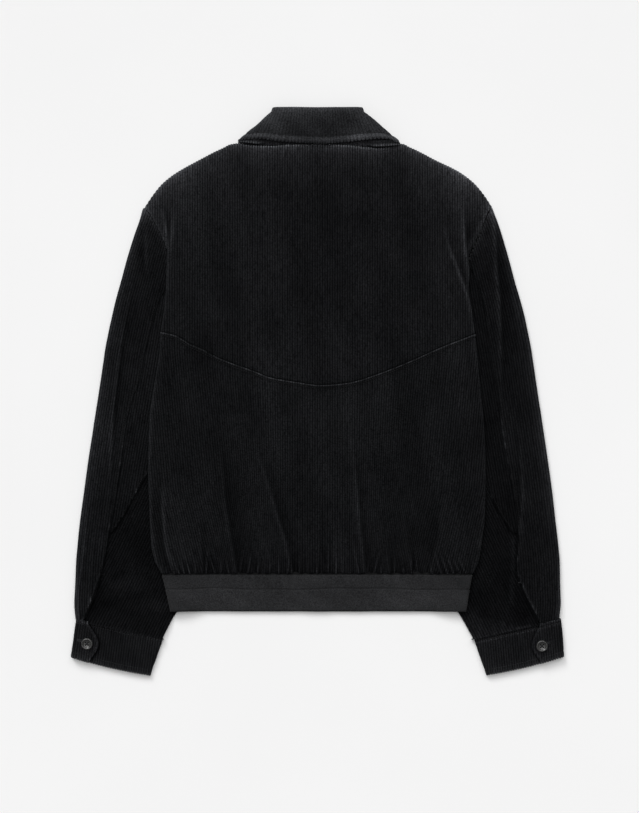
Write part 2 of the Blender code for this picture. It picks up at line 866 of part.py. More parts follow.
def make_cuff(side):
    """A band that starts under the tab, goes round the wrist and ends in the pointed tab."""
    rows = []
    for down in (0.0, 0.17, 0.33, 0.5, 0.67, 0.83, 1.0):
        width = math.dist(cuff_point(side, 0.0, down), cuff_point(side, 1.0, down))
        tab = CUFFS[side]["tab"](down)
        outer, inner = CUFF_TAB_TOP / 2.0, CUFF_BAND_TOP / 2.0
        section = [(mix(9.0, width - inner, k / 5.0), CUFF_BAND_TOP) for k in range(6)]
        section += [
            (width - d, z) for d, z in half_turn(inner, inner, -1.0, rising=False)
        ]
        section += [(mix(width - inner, outer, k / 4.0), 0.0) for k in range(4)]
        section.append((outer, 0.0))
        section += [(-d, z) for d, z in half_turn(-outer, outer, 1.0, rising=True)]
        section += [(mix(outer, tab, k / 3.0), CUFF_TAB_TOP) for k in range(4)]
        points = []
        for along, z in section:
            d, y = cuff_point(side, along / width, down)
            points.append((side * d, y - SEAM, z))
        rows.append(path_row(points))
    name = "cuff_left" if side == LEFT else "cuff_right"
    return cloth(name, rows, CORDUROY, flip=side == RIGHT, wall=CUFF_CLOTH)


def make_button(side):
    """A round button with a raised rim and four holes."""
    name = "button_left" if side == LEFT else "button_right"
    profile = (
        (0.0, 1.9),
        (4.6, 2.0),
        (5.6, 3.0),
        (6.7, BUTTON_HEIGHT),
        (7.8, 2.8),
        (BUTTON_RADIUS, 1.7),
        (7.6, 0.5),
        (6.4, 0.0),
        (0.0, 0.0),
    )
    shape = bmesh.new()
    points = [shape.verts.new((radius * MM, 0.0, z * MM)) for radius, z in profile]
    edges = [shape.edges.new(pair) for pair in zip(points, points[1:])]
    bmesh.ops.spin(
        shape,
        geom=points + edges,
        axis=(0.0, 0.0, 1.0),
        angle=math.tau,
        steps=18,
        use_merge=True,
    )
    bmesh.ops.remove_doubles(shape, verts=shape.verts, dist=0.00001)
    bmesh.ops.recalc_face_normals(shape, faces=shape.faces)
    mesh = bpy.data.meshes.new(name)
    shape.to_mesh(mesh)
    shape.free()
    mesh.shade_smooth()
    made = add_object(name, mesh, HORN)
    d, y = BUTTON_PLACE[side]
    made.location = Vector((side * d, y, CUFF_TAB_TOP + SEAM)) * MM
    for k in range(4):
        angle = math.radians(45.0 + 90.0 * k)
        cutter = make_cylinder(
            f"{name}_hole_{k}",
            1.0,
            8.0,
            Vector((side * d + 2.6 * math.cos(angle), y + 2.6 * math.sin(angle), 12.0)),
        )
        cut = made.modifiers.new(f"hole_{k}", "BOOLEAN")
        cut.operation = "DIFFERENCE"
        cut.object = cutter
    return made


def make_cylinder(name, radius, height, centre, sides=8):
    """A hidden cutter standing on its end."""
    shape = bmesh.new()
    bmesh.ops.create_cone(
        shape,
        cap_ends=True,
        segments=sides,
        radius1=radius * MM,
        radius2=radius * MM,
        depth=height * MM,
    )
    mesh = bpy.data.meshes.new(name)
    shape.to_mesh(mesh)
    shape.free()
    made = bpy.data.objects.new(name, mesh)
    bpy.context.scene.collection.objects.link(made)
    made.location = centre * MM
    made.hide_render = True
    made.display_type = "WIRE"
    return made


# The collar's slanted sides, and the lower edge of the fall across the back.
COLLAR_SIDE = by_side(
    columns(
        "share left right",
        (0.0, 64.5, 65.0),
        (0.25, 75.2, 78.0),
        (0.5, 85.6, 89.6),
        (0.75, 98.8, 102.0),
        (1.0, 110.5, 115.5),
    )
)
FALL_EDGE = curve(
    [
        (-110, 351.5),
        (-89, 353.0),
        (-58, 349.5),
        (-31, 347.8),
        (9, 346.4),
        (41, 348.6),
        (68, 351.5),
        (90, 353.0),
        (103, 352.5),
        (112, 348.5),
    ]
)


def collar_height(across):
    """The collar's upper side: higher where its front half lies under it."""
    return mix(COLLAR_MIDDLE, COLLAR_STACK, smooth((abs(across) - 0.2) / 0.7))


def collar_row(down, edge_back, edge_front, depth, lift, inset=0.0):
    """A row round the collar, from the front's left end over the back to its right end.

    down is the share of the way from the fold to the lower edge, depth is how far the row lies
    inside the fall's outer side, lift raises it above its place, and inset narrows it.
    """
    across_front = [0.12, 0.4, 0.7, 1.0]
    across_back = [-1.0 + k / 5.0 for k in range(11)]
    points = []

    def half_width(side):
        return COLLAR_SIDE[side](down) - COLLAR_STACK / 2.0 - inset

    def front_point(side, across):
        x = side * across * half_width(side)
        drop = NECK_DROP * (1.0 - across * across)
        steep = 2.0 * NECK_DROP * across / COLLAR_FOLD_HALF * (1.0 - down)
        y = mix(COLLAR_TOP - drop, edge_front(side * across * COLLAR_HALF), down)
        return (x, y + lift * math.hypot(1.0, steep), depth)

    def side_points(side):
        found = []
        centre = half_width(side)
        radius = COLLAR_STACK / 2.0 - depth
        low = front_point(side, 1.0)[1]
        high = mix(COLLAR_TOP, edge_back(side * COLLAR_HALF), down) + lift
        for k in (1, 2, 3):
            angle = math.pi * k / 4.0
            z = COLLAR_STACK / 2.0 - radius * math.cos(angle)
            found.append(
                (side * (centre + radius * math.sin(angle)), mix(low, high, k / 4.0), z)
            )
        return found

    points += [front_point(LEFT, across) for across in across_front]
    points += side_points(LEFT)
    for across in across_back:
        side = LEFT if across < 0.0 else RIGHT
        x = across * half_width(side)
        y = mix(COLLAR_TOP, edge_back(across * COLLAR_HALF), down) + lift
        points.append((x, y, collar_height(across) - depth))
    points += reversed(side_points(RIGHT))
    points += [front_point(RIGHT, across) for across in reversed(across_front)]
    return centred(path_row(points), 0.0)


def roll_steps():
    """Round the fold at the collar's top: how far in, and how far below the top."""
    for angle in (90.0, 80.0, 45.0, 0.0):
        turn = math.radians(angle)
        inwards = COLLAR_ROLL * (1.0 - math.cos(turn)) - 1.5 * SEAM * math.sin(turn)
        yield inwards, COLLAR_ROLL * (math.sin(turn) - 1.0)


def make_collar_fall():
    def front_edge(x):
        return front_neck(abs(x)) + 4.5

    rows = []
    for inwards, lift in roll_steps():
        rows.append(collar_row(0.0, FALL_EDGE, front_edge, inwards, lift))
    for down in (0.25, 0.5, 0.75, 1.0):
        rows.append(collar_row(down, FALL_EDGE, front_edge, 0.0, -COLLAR_ROLL * (1.0 - down)))
    return cloth("collar_fall", rows, CORDUROY)


def make_collar_stand():
    def back_edge(x):
        return YOKE_TOP(x) + SEAM + 0.9

    def front_edge(x):
        return front_neck(abs(x)) + SEAM + 0.2

    rows = []
    for inwards, lift in roll_steps():
        depth = STAND_DEPTH - inwards
        rows.append(collar_row(0.0, back_edge, front_edge, depth, lift, STAND_INSET))
    for down in (0.33, 0.67, 1.0):
        lift = -COLLAR_ROLL * (1.0 - down)
        rows.append(collar_row(down, back_edge, front_edge, STAND_DEPTH, lift, STAND_INSET))
    return cloth("collar_stand", rows, CORDUROY, flip=True, wall=STAND_CLOTH)


def add_box(shape, low, high):
    corners = bmesh.ops.create_cube(shape, size=1.0)["verts"]
    for corner in corners:
        corner.co = Vector(
            (b if part > 0.0 else a) * MM for part, a, b in zip(corner.co, low, high)
        )


def solid(name, build, finish):
    shape = bmesh.new()
    build(shape)
    bmesh.ops.recalc_face_normals(shape, faces=shape.faces)
    mesh = bpy.data.meshes.new(name)
    shape.to_mesh(mesh)
    shape.free()
    return add_object(name, mesh, finish)


def make_zip_tape():
    """The two tapes and their closed chain, as one strip of T section."""
    profile = (
        (-TAPE_HALF, TAPE_BOTTOM + TAPE_HEIGHT),
        (-TAPE_HALF, TAPE_BOTTOM),
        (-CHAIN_HALF, TAPE_BOTTOM),
        (-CHAIN_HALF, CHAIN_BOTTOM),
        (CHAIN_HALF, CHAIN_BOTTOM),
        (CHAIN_HALF, TAPE_BOTTOM),
        (TAPE_HALF, TAPE_BOTTOM),
        (TAPE_HALF, TAPE_BOTTOM + TAPE_HEIGHT),
    )

    def build(shape):
        ring = [shape.verts.new((x * MM, (BAND_BOTTOM + 2.0) * MM, z * MM)) for x, z in profile]
        face = shape.faces.new(ring)
        moved = bmesh.ops.extrude_face_region(shape, geom=[face])["geom"]
        top = [item for item in moved if isinstance(item, bmesh.types.BMVert)]
        run = (ZIP_TOP - BAND_BOTTOM - 2.0) * MM
        bmesh.ops.translate(shape, verts=top, vec=(0.0, run, 0.0))

    return solid("zip_tape", build, ZIP_CLOTH)


def make_zip_slider():
    """A plate over the chain's end, with two ears and the pin that the pull tab turns on."""
    name = "zip_slider"

    def plate(shape):
        add_box(shape, (-4.5, SLIDER_PLACE - 6.0, 2.95), (4.5, SLIDER_PLACE + 6.0, 5.2))

    made = solid(name, plate, ZIP_METAL)
    for side in (LEFT, RIGHT):
        inner, outer = sorted((side * 1.5, side * 2.4))

        def ear(shape, inner=inner, outer=outer):
            add_box(shape, (inner, SLIDER_PLACE - 0.8, 0.5), (outer, SLIDER_PLACE + 0.8, 4.0))

        helper = solid(f"{name}_ear_{side + 1}", ear, ZIP_METAL)
        join_helper(made, helper)

    def pin(shape):
        add_box(
            shape,
            (-2.0, SLIDER_PLACE - 0.4, PIN_HEIGHT - 0.4),
            (2.0, SLIDER_PLACE + 0.4, PIN_HEIGHT + 0.4),
        )

    join_helper(made, solid(f"{name}_pin", pin, ZIP_METAL))
    return made


def join_helper(made, helper):
    helper.hide_render = True
    helper.display_type = "WIRE"
    union = made.modifiers.new(helper.name, "BOOLEAN")
    union.operation = "UNION"
    union.object = helper


def make_pull_tab():
    """A flat tab with a round eye on the slider's pin; its origin is on the pin's axis."""
    name = "zip_pull_tab"
    eye_outer, eye_inner, eye_half = 1.25, 0.75, 1.2
    blade_half, blade_start, blade_wall = 3.2, 2.2, 1.2
    sides = 12

    def build(shape):
        rings = []
        for x in (-eye_half, eye_half):
            for radius in (eye_outer, eye_inner):
                rings.append(
                    [
                        shape.verts.new(
                            Vector(
                                (
                                    x,
                                    radius * math.cos(math.tau * k / sides),
                                    radius * math.sin(math.tau * k / sides),
                                )
                            )
                            * MM
                        )
                        for k in range(sides)
                    ]
                )
        low_outer, low_inner, high_outer, high_inner = rings
        for first, second in (
            (low_outer, high_outer),
            (high_outer, high_inner),
            (high_inner, low_inner),
            (low_inner, low_outer),
        ):
            for k in range(sides):
                n = (k + 1) % sides
                shape.faces.new((first[k], first[n], second[n], second[k]))

    made = solid(name, build, ZIP_METAL)

    def neck(shape):
        add_box(
            shape,
            (-eye_half + 0.1, -blade_start - 1.0, -blade_wall / 2.0),
            (eye_half - 0.1, -1.0, blade_wall / 2.0),
        )

    def blade(shape):
        add_box(
            shape,
            (-blade_half, -TAB_LENGTH, -blade_wall / 2.0 + 0.05),
            (blade_half, -blade_start, blade_wall / 2.0 - 0.05),
        )

    for suffix, part in (("neck", neck), ("blade", blade)):
        helper = solid(f"{name}_{suffix}", part, ZIP_METAL)
        helper.parent = made
        join_helper(made, helper)
    made.location = Vector((0.0, SLIDER_PLACE, PIN_HEIGHT)) * MM
    return made


def main():
    for old in list(bpy.data.objects):
        bpy.data.objects.remove(old, do_unlink=True)
    make_back_yoke()
    make_back_lower()
    make_waistband_back()
    for side in (LEFT, RIGHT):
        make_front(side)
        make_waistband_front(side)
        make_sleeve(side)
        make_gusset(side)
        make_placket(side)
        make_cuff(side)
        make_button(side)
    make_collar_fall()
    make_collar_stand()
    make_zip_tape()
    make_zip_slider()
    make_pull_tab()


main()
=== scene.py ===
"""Looks of the corduroy harrington jacket, laid flat on its front on a pale floor.

Every piece of cloth is a thin skin over its solid, with the corduroy's ribs as real shape. Sizes are
in millimetres until MM turns them into metres. A distance d is measured from the centre line to
either side, and s is the distance across the cloth, which the ribs are counted along.
"""

import math  # noqa: E402

import bpy  # noqa: E402
import numpy as np  # noqa: E402
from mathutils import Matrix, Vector  # noqa: E402


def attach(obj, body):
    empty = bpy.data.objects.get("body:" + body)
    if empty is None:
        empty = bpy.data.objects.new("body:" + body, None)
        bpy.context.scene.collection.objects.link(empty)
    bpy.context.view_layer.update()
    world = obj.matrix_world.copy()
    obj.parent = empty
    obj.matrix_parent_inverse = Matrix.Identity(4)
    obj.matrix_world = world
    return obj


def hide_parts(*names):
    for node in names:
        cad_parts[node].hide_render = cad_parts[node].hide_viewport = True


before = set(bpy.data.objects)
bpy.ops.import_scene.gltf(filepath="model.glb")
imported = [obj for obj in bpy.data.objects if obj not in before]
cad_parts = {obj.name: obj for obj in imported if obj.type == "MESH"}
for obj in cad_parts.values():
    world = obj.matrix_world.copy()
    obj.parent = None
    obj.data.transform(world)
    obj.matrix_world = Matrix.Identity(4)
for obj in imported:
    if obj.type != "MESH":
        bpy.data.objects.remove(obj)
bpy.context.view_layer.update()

MM = 0.001

# Cloth and layers
CLOTH = 2.0  # corduroy wall
SEAM = 0.3  # gap between sewn pieces
SLEEVE_STACK = 5.8  # the sleeve under the body's side
STACK_RAMP = 34.0  # the body comes down to the surface in this width
STACK_MARGIN = 4.0

# How loosely the back lies over the layers under it
LOOSE_GAP = 1.3
CLIMB_GAP = 0.8  # more where the layers below climb over the sleeve
CHAIN_GAP = 1.0  # more over the zip's chain
NECK_GAP = 3.3  # more over the collar's front halves
SIDE_ZONE = 34.0  # beside the fold, where the gap opens

# Body, along y
SHOULDER_TIP = 243.0
ARMPIT = 8.4
BAND_TOP = -256.2
BAND_SEAM = -277.0
BAND_BOTTOM = -308.4

# Collar
COLLAR_TOP = 397.0
COLLAR_HALF = 112.0  # half the width of its lower edge
COLLAR_FOLD_HALF = 47.0  # and of the flat part of its top fold
COLLAR_STACK = 14.2  # four layers at its sides
COLLAR_MIDDLE = 12.0
COLLAR_ROLL = 3.0  # radius of the fold between fall and stand
NECK_DROP = 80.0  # the front neck is this much lower than the back
NECK_SIDE = 344.6

# The hidden zip, from the waistband's lower edge to the neck
ZIP_TOP = 250.0
TAPE_HALF = 14.0
CHAIN_HALF = 3.0

# The puckers above the waistband
GATHERS = 28
GATHER_FIRST = -203.0
GATHER_SPACING = 15.1
GATHER_REACH = 90.0
GATHER_HALF_WIDTH = 3.0

LEFT = -1
RIGHT = 1
SIDES = (LEFT, RIGHT)
NAME = {LEFT: "left", RIGHT: "right"}


def smooth(value):
    value = min(max(value, 0.0), 1.0)
    return value * value * (3.0 - 2.0 * value)


def mix(first, second, share):
    return first + (second - first) * share


def curve(*points):
    """A smooth curve through (key, value) points, which never overshoots them."""
    points = sorted(points)
    keys = [float(key) for key, _ in points]
    values = [float(value) for _, value in points]
    slopes = [(values[i + 1] - values[i]) / (keys[i + 1] - keys[i]) for i in range(len(keys) - 1)]
    tangents = [slopes[0]]
    for before, after in zip(slopes, slopes[1:]):
        tangents.append(0.0 if before * after <= 0.0 else 2.0 * before * after / (before + after))
    tangents.append(slopes[-1])

    def at(key):
        if key <= keys[0]:
            return values[0]
        if key >= keys[-1]:
            return values[-1]
        i = max(k for k in range(len(keys) - 1) if keys[k] <= key)
        width = keys[i + 1] - keys[i]
        t = (key - keys[i]) / width
        rise = values[i + 1] - values[i]
        start, end = tangents[i] * width, tangents[i + 1] * width
        bend = t * t * (3.0 * rise - 2.0 * start - end)
        return values[i] + t * start + bend + t * t * t * (start + end - 2.0 * rise)

    return at


def columns(names, *rows):
    """The named columns of a table, each as a curve over the table's first column."""
    names = names.split()
    return {
        name: curve(*[(row[0], row[i]) for row in rows if row[i] is not None])
        for i, name in enumerate(names)
        if i
    }


def both_sides(*rows):
    """Two curves over the first column: the left side's and the right side's."""
    table = columns("place left right", *rows)
    return {LEFT: table["left"], RIGHT: table["right"]}


# The body's outline: the armhole edge down to y 186, then the fold at its side.
BODY_EDGE = both_sides(
    (257, 243, 244), (251, 237, 239), (238, 229.5, 234.5), (219, 219.5, 227.5), (199, 211, 218),
    (186, 209.7, 212.3), (148, 211, 212), (113, 214, 215), (83, 218, 219), (54, 220.5, 222),
    (25, 225, 225), (-13, 231, 229), (-38, 234.5, 232), (-113, 235.6, 234.4), (-172, 234.5, 233.2),
    (-217, 231.7, 228), (-237, 227, 225), (-256, 218, 217), (-308, 206, 208),
)

# How far the cloth turns round the side, in degrees, and the height of what lies under it.
BODY_SIDE = columns(
    "y turn stack gap",
    (257, 0, 0, 0.8), (235, 0, 0, 1.2), (215, 0, 1.6, 1.8), (205, 30, 2.6, 2.2),
    (186, 90, 4.4, 2.8), (174, 150, 5.4, 2.8), (166, 180, 5.8, 2.8), (-320, 180, 5.8, 2.8),
)

# Hidden edges: where the cloth turned under ends, and the side seam below the armpit.
UNDER_EDGE = curve(
    (186, 207), (168, 201), (148, 193), (127, 187), (99, 184), (50, 179.5), (8.4, 179.2),
    (-38, 185.5), (-113, 188), (-180, 192.5), (-256, 198), (-308, 196),
)

FRONT_ARMHOLE = curve(
    (257, 243), (251, 236), (225, 220.5), (197, 206.5), (155, 195.3), (99, 189.7), (50, 184.1),
    (8.4, 179.2),
)

# The smile-shaped yoke seam and the top edge of the yoke, over x.
YOKE_SEAM = curve(
    (-219, 82.5), (-198, 77), (-178, 65.5), (-159, 56.8), (-139, 46.3), (-87, 27), (-68, 19.6),
    (-30, 12.6), (5, 8.4), (41, 11.2), (86, 24.5), (137, 44.8), (178, 63), (208, 74.6), (220, 79.5),
)
YOKE_TOP = curve(
    (-243, 256), (-232, 273), (-218, 290), (-197, 306.6), (-166, 323.4), (-145, 334.6),
    (-132, 340.4), (-122, 345), (-110, 345.8), (-96, 343.6), (-76, 342.7), (-60, 342.3), (-40, 344),
    (0, 344.4), (41, 343.3), (68, 340.6), (86, 339.8), (100, 341.6), (110, 344.6), (119, 345),
    (128, 340.8), (141, 334.8), (163, 323.4), (197, 306.6), (219, 290), (233, 273), (244, 256),
)

# The sleeve: outer fold, hidden inner fold, and its height under the body and where it is free.
SLEEVE = columns(
    "y outer inner under free",
    (256, 243, None, 5.6, 5.8), (239, 249, None, 5.8, 6.2), (222, 255, None, 7.4, 7),
    (206, 260, None, 9, 7.6), (189, 265.3, None, 7.9, 8), (177, 268.8, None, 5.5, 8),
    (155, 274.5, None, 5.3, 8), (122, 283.5, None, 5.3, 8), (88, 291, None, 5.3, 8),
    (55, 298, None, 5.3, 8), (21, 303.2, None, 5.3, 8), (8, 305, 180.5, 5.3, 8),
    (-20, 309.2, 184, 5.3, 8), (-69, 316.8, 165.5, 5.3, 8), (-113, 323.4, 158, 5.3, 8),
    (-167, 330.5, 164.5, 5.3, 8), (-214, 336, 174, 5.3, 8.4), (-248, 338.7, 181, 5.3, 9.2),
    (-281, 339.5, 188, 5.3, 10.2), (-290, 339.9, 193, 5.3, 10.4), (-298, 340.2, 199.5, 5.3, 10.6),
    (-312, 340, 207.2, 5.3, 10.5), (-322, 339, 212, 6.6, 10.2), (-332, 338.2, 216.5, 8, 9),
    (-337, 338, 217.3, 8, 9),
)
SLEEVE_TOP = 253.0
CUFF_SEAM = -334.2
CUFF_SEAM_MIDDLE = 277.0
CUFF_TILT = 0.2254
TILT_TOP = -150.0  # below this the rows tilt, to end along the cuff

# Seams on the sleeve's upper side, as distances from the centre line.
BACK_SEAM = both_sides(
    (178, None, 208), (166, None, 217.5), (152, 197, 222.5), (140, 213, 226.4), (127, 220.5, 231.4),
    (79, 234.5, 238.2), (49, 242, 242.9), (15, 248.5, 248.5), (-15, 259.5, 254.5),
    (-46, 266.8, 256.5), (-92, 273, 264), (-126, 278, 270.5), (-160, 283.6, 276.5),
    (-202, 291.6, 280), (-252, 300.5, 281.3), (-276, 307.7, 286.5), (-297, 313.7, 294.5),
    (-323, 323.3, 307), (-337, 328, 312),
)
WEDGE_SEAM = both_sides(
    (8.4, 184, 184), (-14, 188.5, 188.5), (-46, 200, 198.5), (-69, 211, 206.5), (-112, 235.6, 225),
    (-134, 248.8, 235.6), (-155, 260, 246), (-178, 273, 258.7), (-204, 291, 277),
)
SLEEVE_EDGE = both_sides(
    (257, 243, 244), (251, 237.3, 239.3), (238, 229.8, 234.8), (219, 219.8, 227.8),
    (199, 211.8, 218.6), (186, 210.6, 213), (178, 210.4, 211.5), (168, 204, 206), (148, 194, 194),
    (127, 188, 188), (99, 185, 185), (50, 181, 181), (24, 182, 182), (8.4, 184.3, 184.3),
)
GUSSET_TOP = {LEFT: 147.0, RIGHT: 172.0}
GUSSET_TIP = {LEFT: -199.0, RIGHT: -200.0}
SLIT_TOP = {LEFT: -262.0, RIGHT: -270.0}

# Soft folds: the line each follows, its height (a trough below 0) and its half width.
BACK_FOLDS = (
    (((-218, 262), (-211, 228), (-207, 198)), 2.2, 7),
    (((206, 246), (208, 212), (209, 178)), 2.0, 7),
    (((-38, -250), (-60, -150), (-93, -50)), 2.0, 9),
    (((-119, -250), (-134, -180), (-146, -122)), 2.2, 9),
    (((68, -250), (55, -150), (47, -55)), 1.8, 9),
    (((-196, -246), (-186, -190), (-178, -120)), 1.6, 9),
    (((176, -246), (170, -200), (160, -130)), 1.6, 9),
    (((-205, 60), (-150, 20), (-90, -10)), 1.2, 12),
    (((205, 55), (160, 22), (110, -8)), 1.2, 12),
)
SLEEVE_FOLDS = {
    LEFT: (
        (((-281, 16), (-288, -64), (-293, -146), (-299, -180)), -1.6, 6),
        (((-324, -172), (-329, -220), (-333, -274)), -1.4, 5),
    ),
    RIGHT: (
        (((246, 246), (249, 190), (254, 122), (255, 40), (255, -26)), 1.8, 6),
        (((279, -34), (285, -97), (286, -146), (282, -220)), -1.6, 6),
    ),
}


def fold_height(folds, x, y):
    """The height that the soft folds add at a point, fading towards each fold's ends."""
    total = 0.0
    for line, height, half_width in folds:
        nearest, along = 1e9, 0.0
        for i, (start, end) in enumerate(zip(line, line[1:])):
            run = (end[0] - start[0], end[1] - start[1])
            along_run = (x - start[0]) * run[0] + (y - start[1]) * run[1]
            share = along_run / (run[0] ** 2 + run[1] ** 2)
            share = min(max(share, 0.0), 1.0)
            away = math.hypot(x - start[0] - share * run[0], y - start[1] - share * run[1])
            if away < nearest:
                nearest, along = away, (i + share) / (len(line) - 1)
        fade = smooth(min(along, 1.0 - along) * 4.0 + 0.25)
        total += height * fade * math.exp(-((nearest / half_width) ** 2))
    return total


def gather_height(x, y):
    """The small puckers where the back is drawn into the waistband."""
    depth = y - BAND_TOP
    if depth > GATHER_REACH or depth < 0.0:
        return 0.0
    total = 0.0
    for k in range(GATHERS):
        place = GATHER_FIRST + GATHER_SPACING * k + 2.6 * math.sin(2.4 * k)
        length = 26.0 + 14.0 * math.sin(1.7 * k + 1.0)
        height = 1.6 + 0.5 * math.sin(2.9 * k)
        away = (x - place * (1.0 + 0.0006 * depth)) / GATHER_HALF_WIDTH
        total += height * math.exp(-away * away) * math.exp(-((depth / length) ** 2))
    return total


def stack_edge(y):
    """Where what lies under the body's side ends, with a margin."""
    if y >= ARMPIT:
        return UNDER_EDGE(y) - STACK_MARGIN
    tilt = CUFF_TILT * smooth((TILT_TOP - y) / (TILT_TOP - CUFF_SEAM))
    row = y + tilt * (CUFF_SEAM_MIDDLE - UNDER_EDGE(y))
    return SLEEVE["inner"](row) - STACK_MARGIN


def under_height(d, y, stack):
    """The underside of cloth that lies over the sleeve and comes down to the surface inwards."""
    return stack * (1.0 - smooth((stack_edge(y) - d) / STACK_RAMP))


def front_fold(d):
    """Where the top fold of the collar's front half is, under the back."""
    return COLLAR_TOP - NECK_DROP * (1.0 - min(d / COLLAR_FOLD_HALF, 1.0) ** 2)


def back_height(x, y):
    """The upper side of the back, over what lies under it."""
    side = LEFT if x < 0 else RIGHT
    d = abs(x)
    edge = BODY_EDGE[side](y)
    stack = under_height(min(d, edge), y, BODY_SIDE["stack"](y))
    near_side = smooth((d - edge + SIDE_ZONE) / (SIDE_ZONE - 10.0))
    gap = mix(LOOSE_GAP, BODY_SIDE["gap"](y), near_side)
    gap += CHAIN_GAP * (1.0 - smooth((d - CHAIN_HALF - 7.0) / TAPE_HALF))
    climb = stack / SLEEVE_STACK
    gap += 4.0 * CLIMB_GAP * climb * (1.0 - climb)
    neck = NECK_GAP * (1.0 - smooth((d - COLLAR_HALF + 8.0) / 24.0))
    neck *= smooth((y - ZIP_TOP + 28.0) / 34.0) * (1.0 - smooth((y - front_fold(d) - 4.0) / 20.0))
    loose = fold_height(BACK_FOLDS, x, y) * (1.0 - 0.75 * near_side)
    return stack + 2.0 * CLOTH + gap + neck + loose


def front_neck(d):
    """The y of a front's neck edge."""
    if d >= COLLAR_HALF:
        return NECK_SIDE
    return NECK_SIDE - NECK_DROP * (1.0 - (d / COLLAR_HALF) ** 2)


def sleeve_height(side, d, y):
    """The upper side of a sleeve, pressed flat under the body and free beside it."""
    edge = BODY_EDGE[side](y) if y > BAND_BOTTOM else BODY_EDGE[side](BAND_BOTTOM)
    free = smooth((d - edge + 3.0) / 26.0)
    height = mix(SLEEVE["under"](y), SLEEVE["free"](y), free)
    return height + fold_height(SLEEVE_FOLDS[side], side * d, y) * free


def sleeve_place(d, y):
    """The y of a point in a sleeve's row, which tilts towards the cuff's seam."""
    tilt = CUFF_TILT * smooth((TILT_TOP - y) / (TILT_TOP - CUFF_SEAM))
    return y + tilt * (d - CUFF_SEAM_MIDDLE)


# Each cuff: its four corners and the width of the pointed tab along its height.
CUFFS = {
    LEFT: {
        "outer_top": (337.6, -320.4),
        "inner_top": (217.3, -347.8),
        "inner_low": (234.5, -396.7),
        "outer_low": (344.8, -371.0),
        "tab": curve((0, 17), (0.5, 36), (1, 26)),
    },
    RIGHT: {
        "outer_top": (340.6, -320.2),
        "inner_top": (220.0, -347.6),
        "inner_low": (236.9, -396.3),
        "outer_low": (344.8, -370.0),
        "tab": curve((0, 30), (0.5, 44), (1, 33)),
    },
}
CUFF_BOW = 2.6  # how much lower the middle of a cuff's lower edge lies
CUFF_BAND_TOP = 7.4
CUFF_TAB_TOP = 10.7
BUTTON_PLACE = {LEFT: (322.1, -353.2), RIGHT: (313.6, -356.3)}


def cuff_point(side, along, down):
    """A point on the cuff's plan: along from its outer fold, and down from its seam."""
    corners = CUFFS[side]
    top = [mix(*pair, along) for pair in zip(corners["outer_top"], corners["inner_top"])]
    low = [mix(*pair, along) for pair in zip(corners["outer_low"], corners["inner_low"])]
    low[1] -= CUFF_BOW * 4.0 * along * (1.0 - along)
    return [mix(*pair, down) for pair in zip(top, low)]


def cuff_width(side, down):
    return math.dist(cuff_point(side, 0.0, down), cuff_point(side, 1.0, down))


# The collar's slanted sides, and the lower edge of the fall across the back.
COLLAR_SIDE = both_sides(
    (0, 64.5, 65), (0.25, 75.2, 78), (0.5, 85.6, 89.6), (0.75, 98.8, 102), (1, 110.5, 115.5),
)
FALL_EDGE = curve(
    (-110, 351.5), (-89, 353), (-58, 349.5), (-31, 347.8), (9, 346.4), (41, 348.6), (68, 351.5),
    (90, 353), (103, 352.5), (112, 348.5),
)


def collar_height(across):
    """The collar's upper side: higher where its front half lies under it."""
    return mix(COLLAR_MIDDLE, COLLAR_STACK, smooth((abs(across) - 0.2) / 0.7))


def edge_drop(x, height):
    """How far the yoke's upper edge turns down: to the surface at a shoulder, little at the neck."""
    return mix(1.6, height - SEAM, smooth((abs(x) - 114.0) / 10.0))


# The corduroy's ribs
PITCH = 3.5
STEPS = 6  # columns to a rib
STEP = PITCH / STEPS
RIB = 0.85  # height of a rib
RIB_SHAPE = 2.2  # how flat its crest and how narrow its groove is
ROW = 8.0  # distance between rows where the cloth is plain
HIDDEN_STEP = 5.0  # distance between columns where the cloth is hidden
SCALLOP = 1.9  # how far the ribs stand out at a cut across them
FAR = 99.0  # a distance at which a seam draws nothing in


def bell(away, width):
    """1 where away is 0, and fading on both sides of it."""
    return np.exp(-((away / width) ** 2))


def positive(value):
    return np.clip(value, 0.0, None)


def fading(away, width):
    """1 up to where away is 0, and fading beyond."""
    return np.exp(-positive(away) / width)


def clamp(value):
    return np.clip(value, 0.0, 1.0)


def smooth_step(value):
    """As smooth(), for arrays."""
    value = clamp(value)
    return value * value * (3.0 - 2.0 * value)


def rib(s):
    """The height of the ribs, 0 in a groove and 1 on a crest."""
    away = np.abs(2.0 * np.mod(s / PITCH, 1.0) - 1.0)
    return 1.0 - away**RIB_SHAPE


def positions(start, shown_start, shown_end, end):
    """Distances across a row: a column on every sixth of a rib where it shows, fewer where hidden.

    Each comes with 1 where the ribs are modelled and 0 where they aren't.
    """
    found = []
    low, high = math.ceil(shown_start / STEP - 0.2), math.floor(shown_end / STEP + 0.2)
    fine = [(j * STEP, 1.0) for j in range(low, high + 1)]
    fine = [pair for pair in fine if start + 0.15 < pair[0] < end - 0.15]
    found.append((start, 1.0 if start > shown_start - 0.5 else 0.0))
    first = math.ceil(start / HIDDEN_STEP)
    while first * HIDDEN_STEP < shown_start - 2.0:
        if first * HIDDEN_STEP > start + 0.5:
            found.append((first * HIDDEN_STEP, 0.0))
        first += 1
    found += fine
    first = math.ceil((shown_end + 2.0) / HIDDEN_STEP)
    while first * HIDDEN_STEP < end - 0.5:
        found.append((first * HIDDEN_STEP, 0.0))
        first += 1
    found.append((end, 1.0 if end < shown_end + 0.5 else 0.0))
    return found


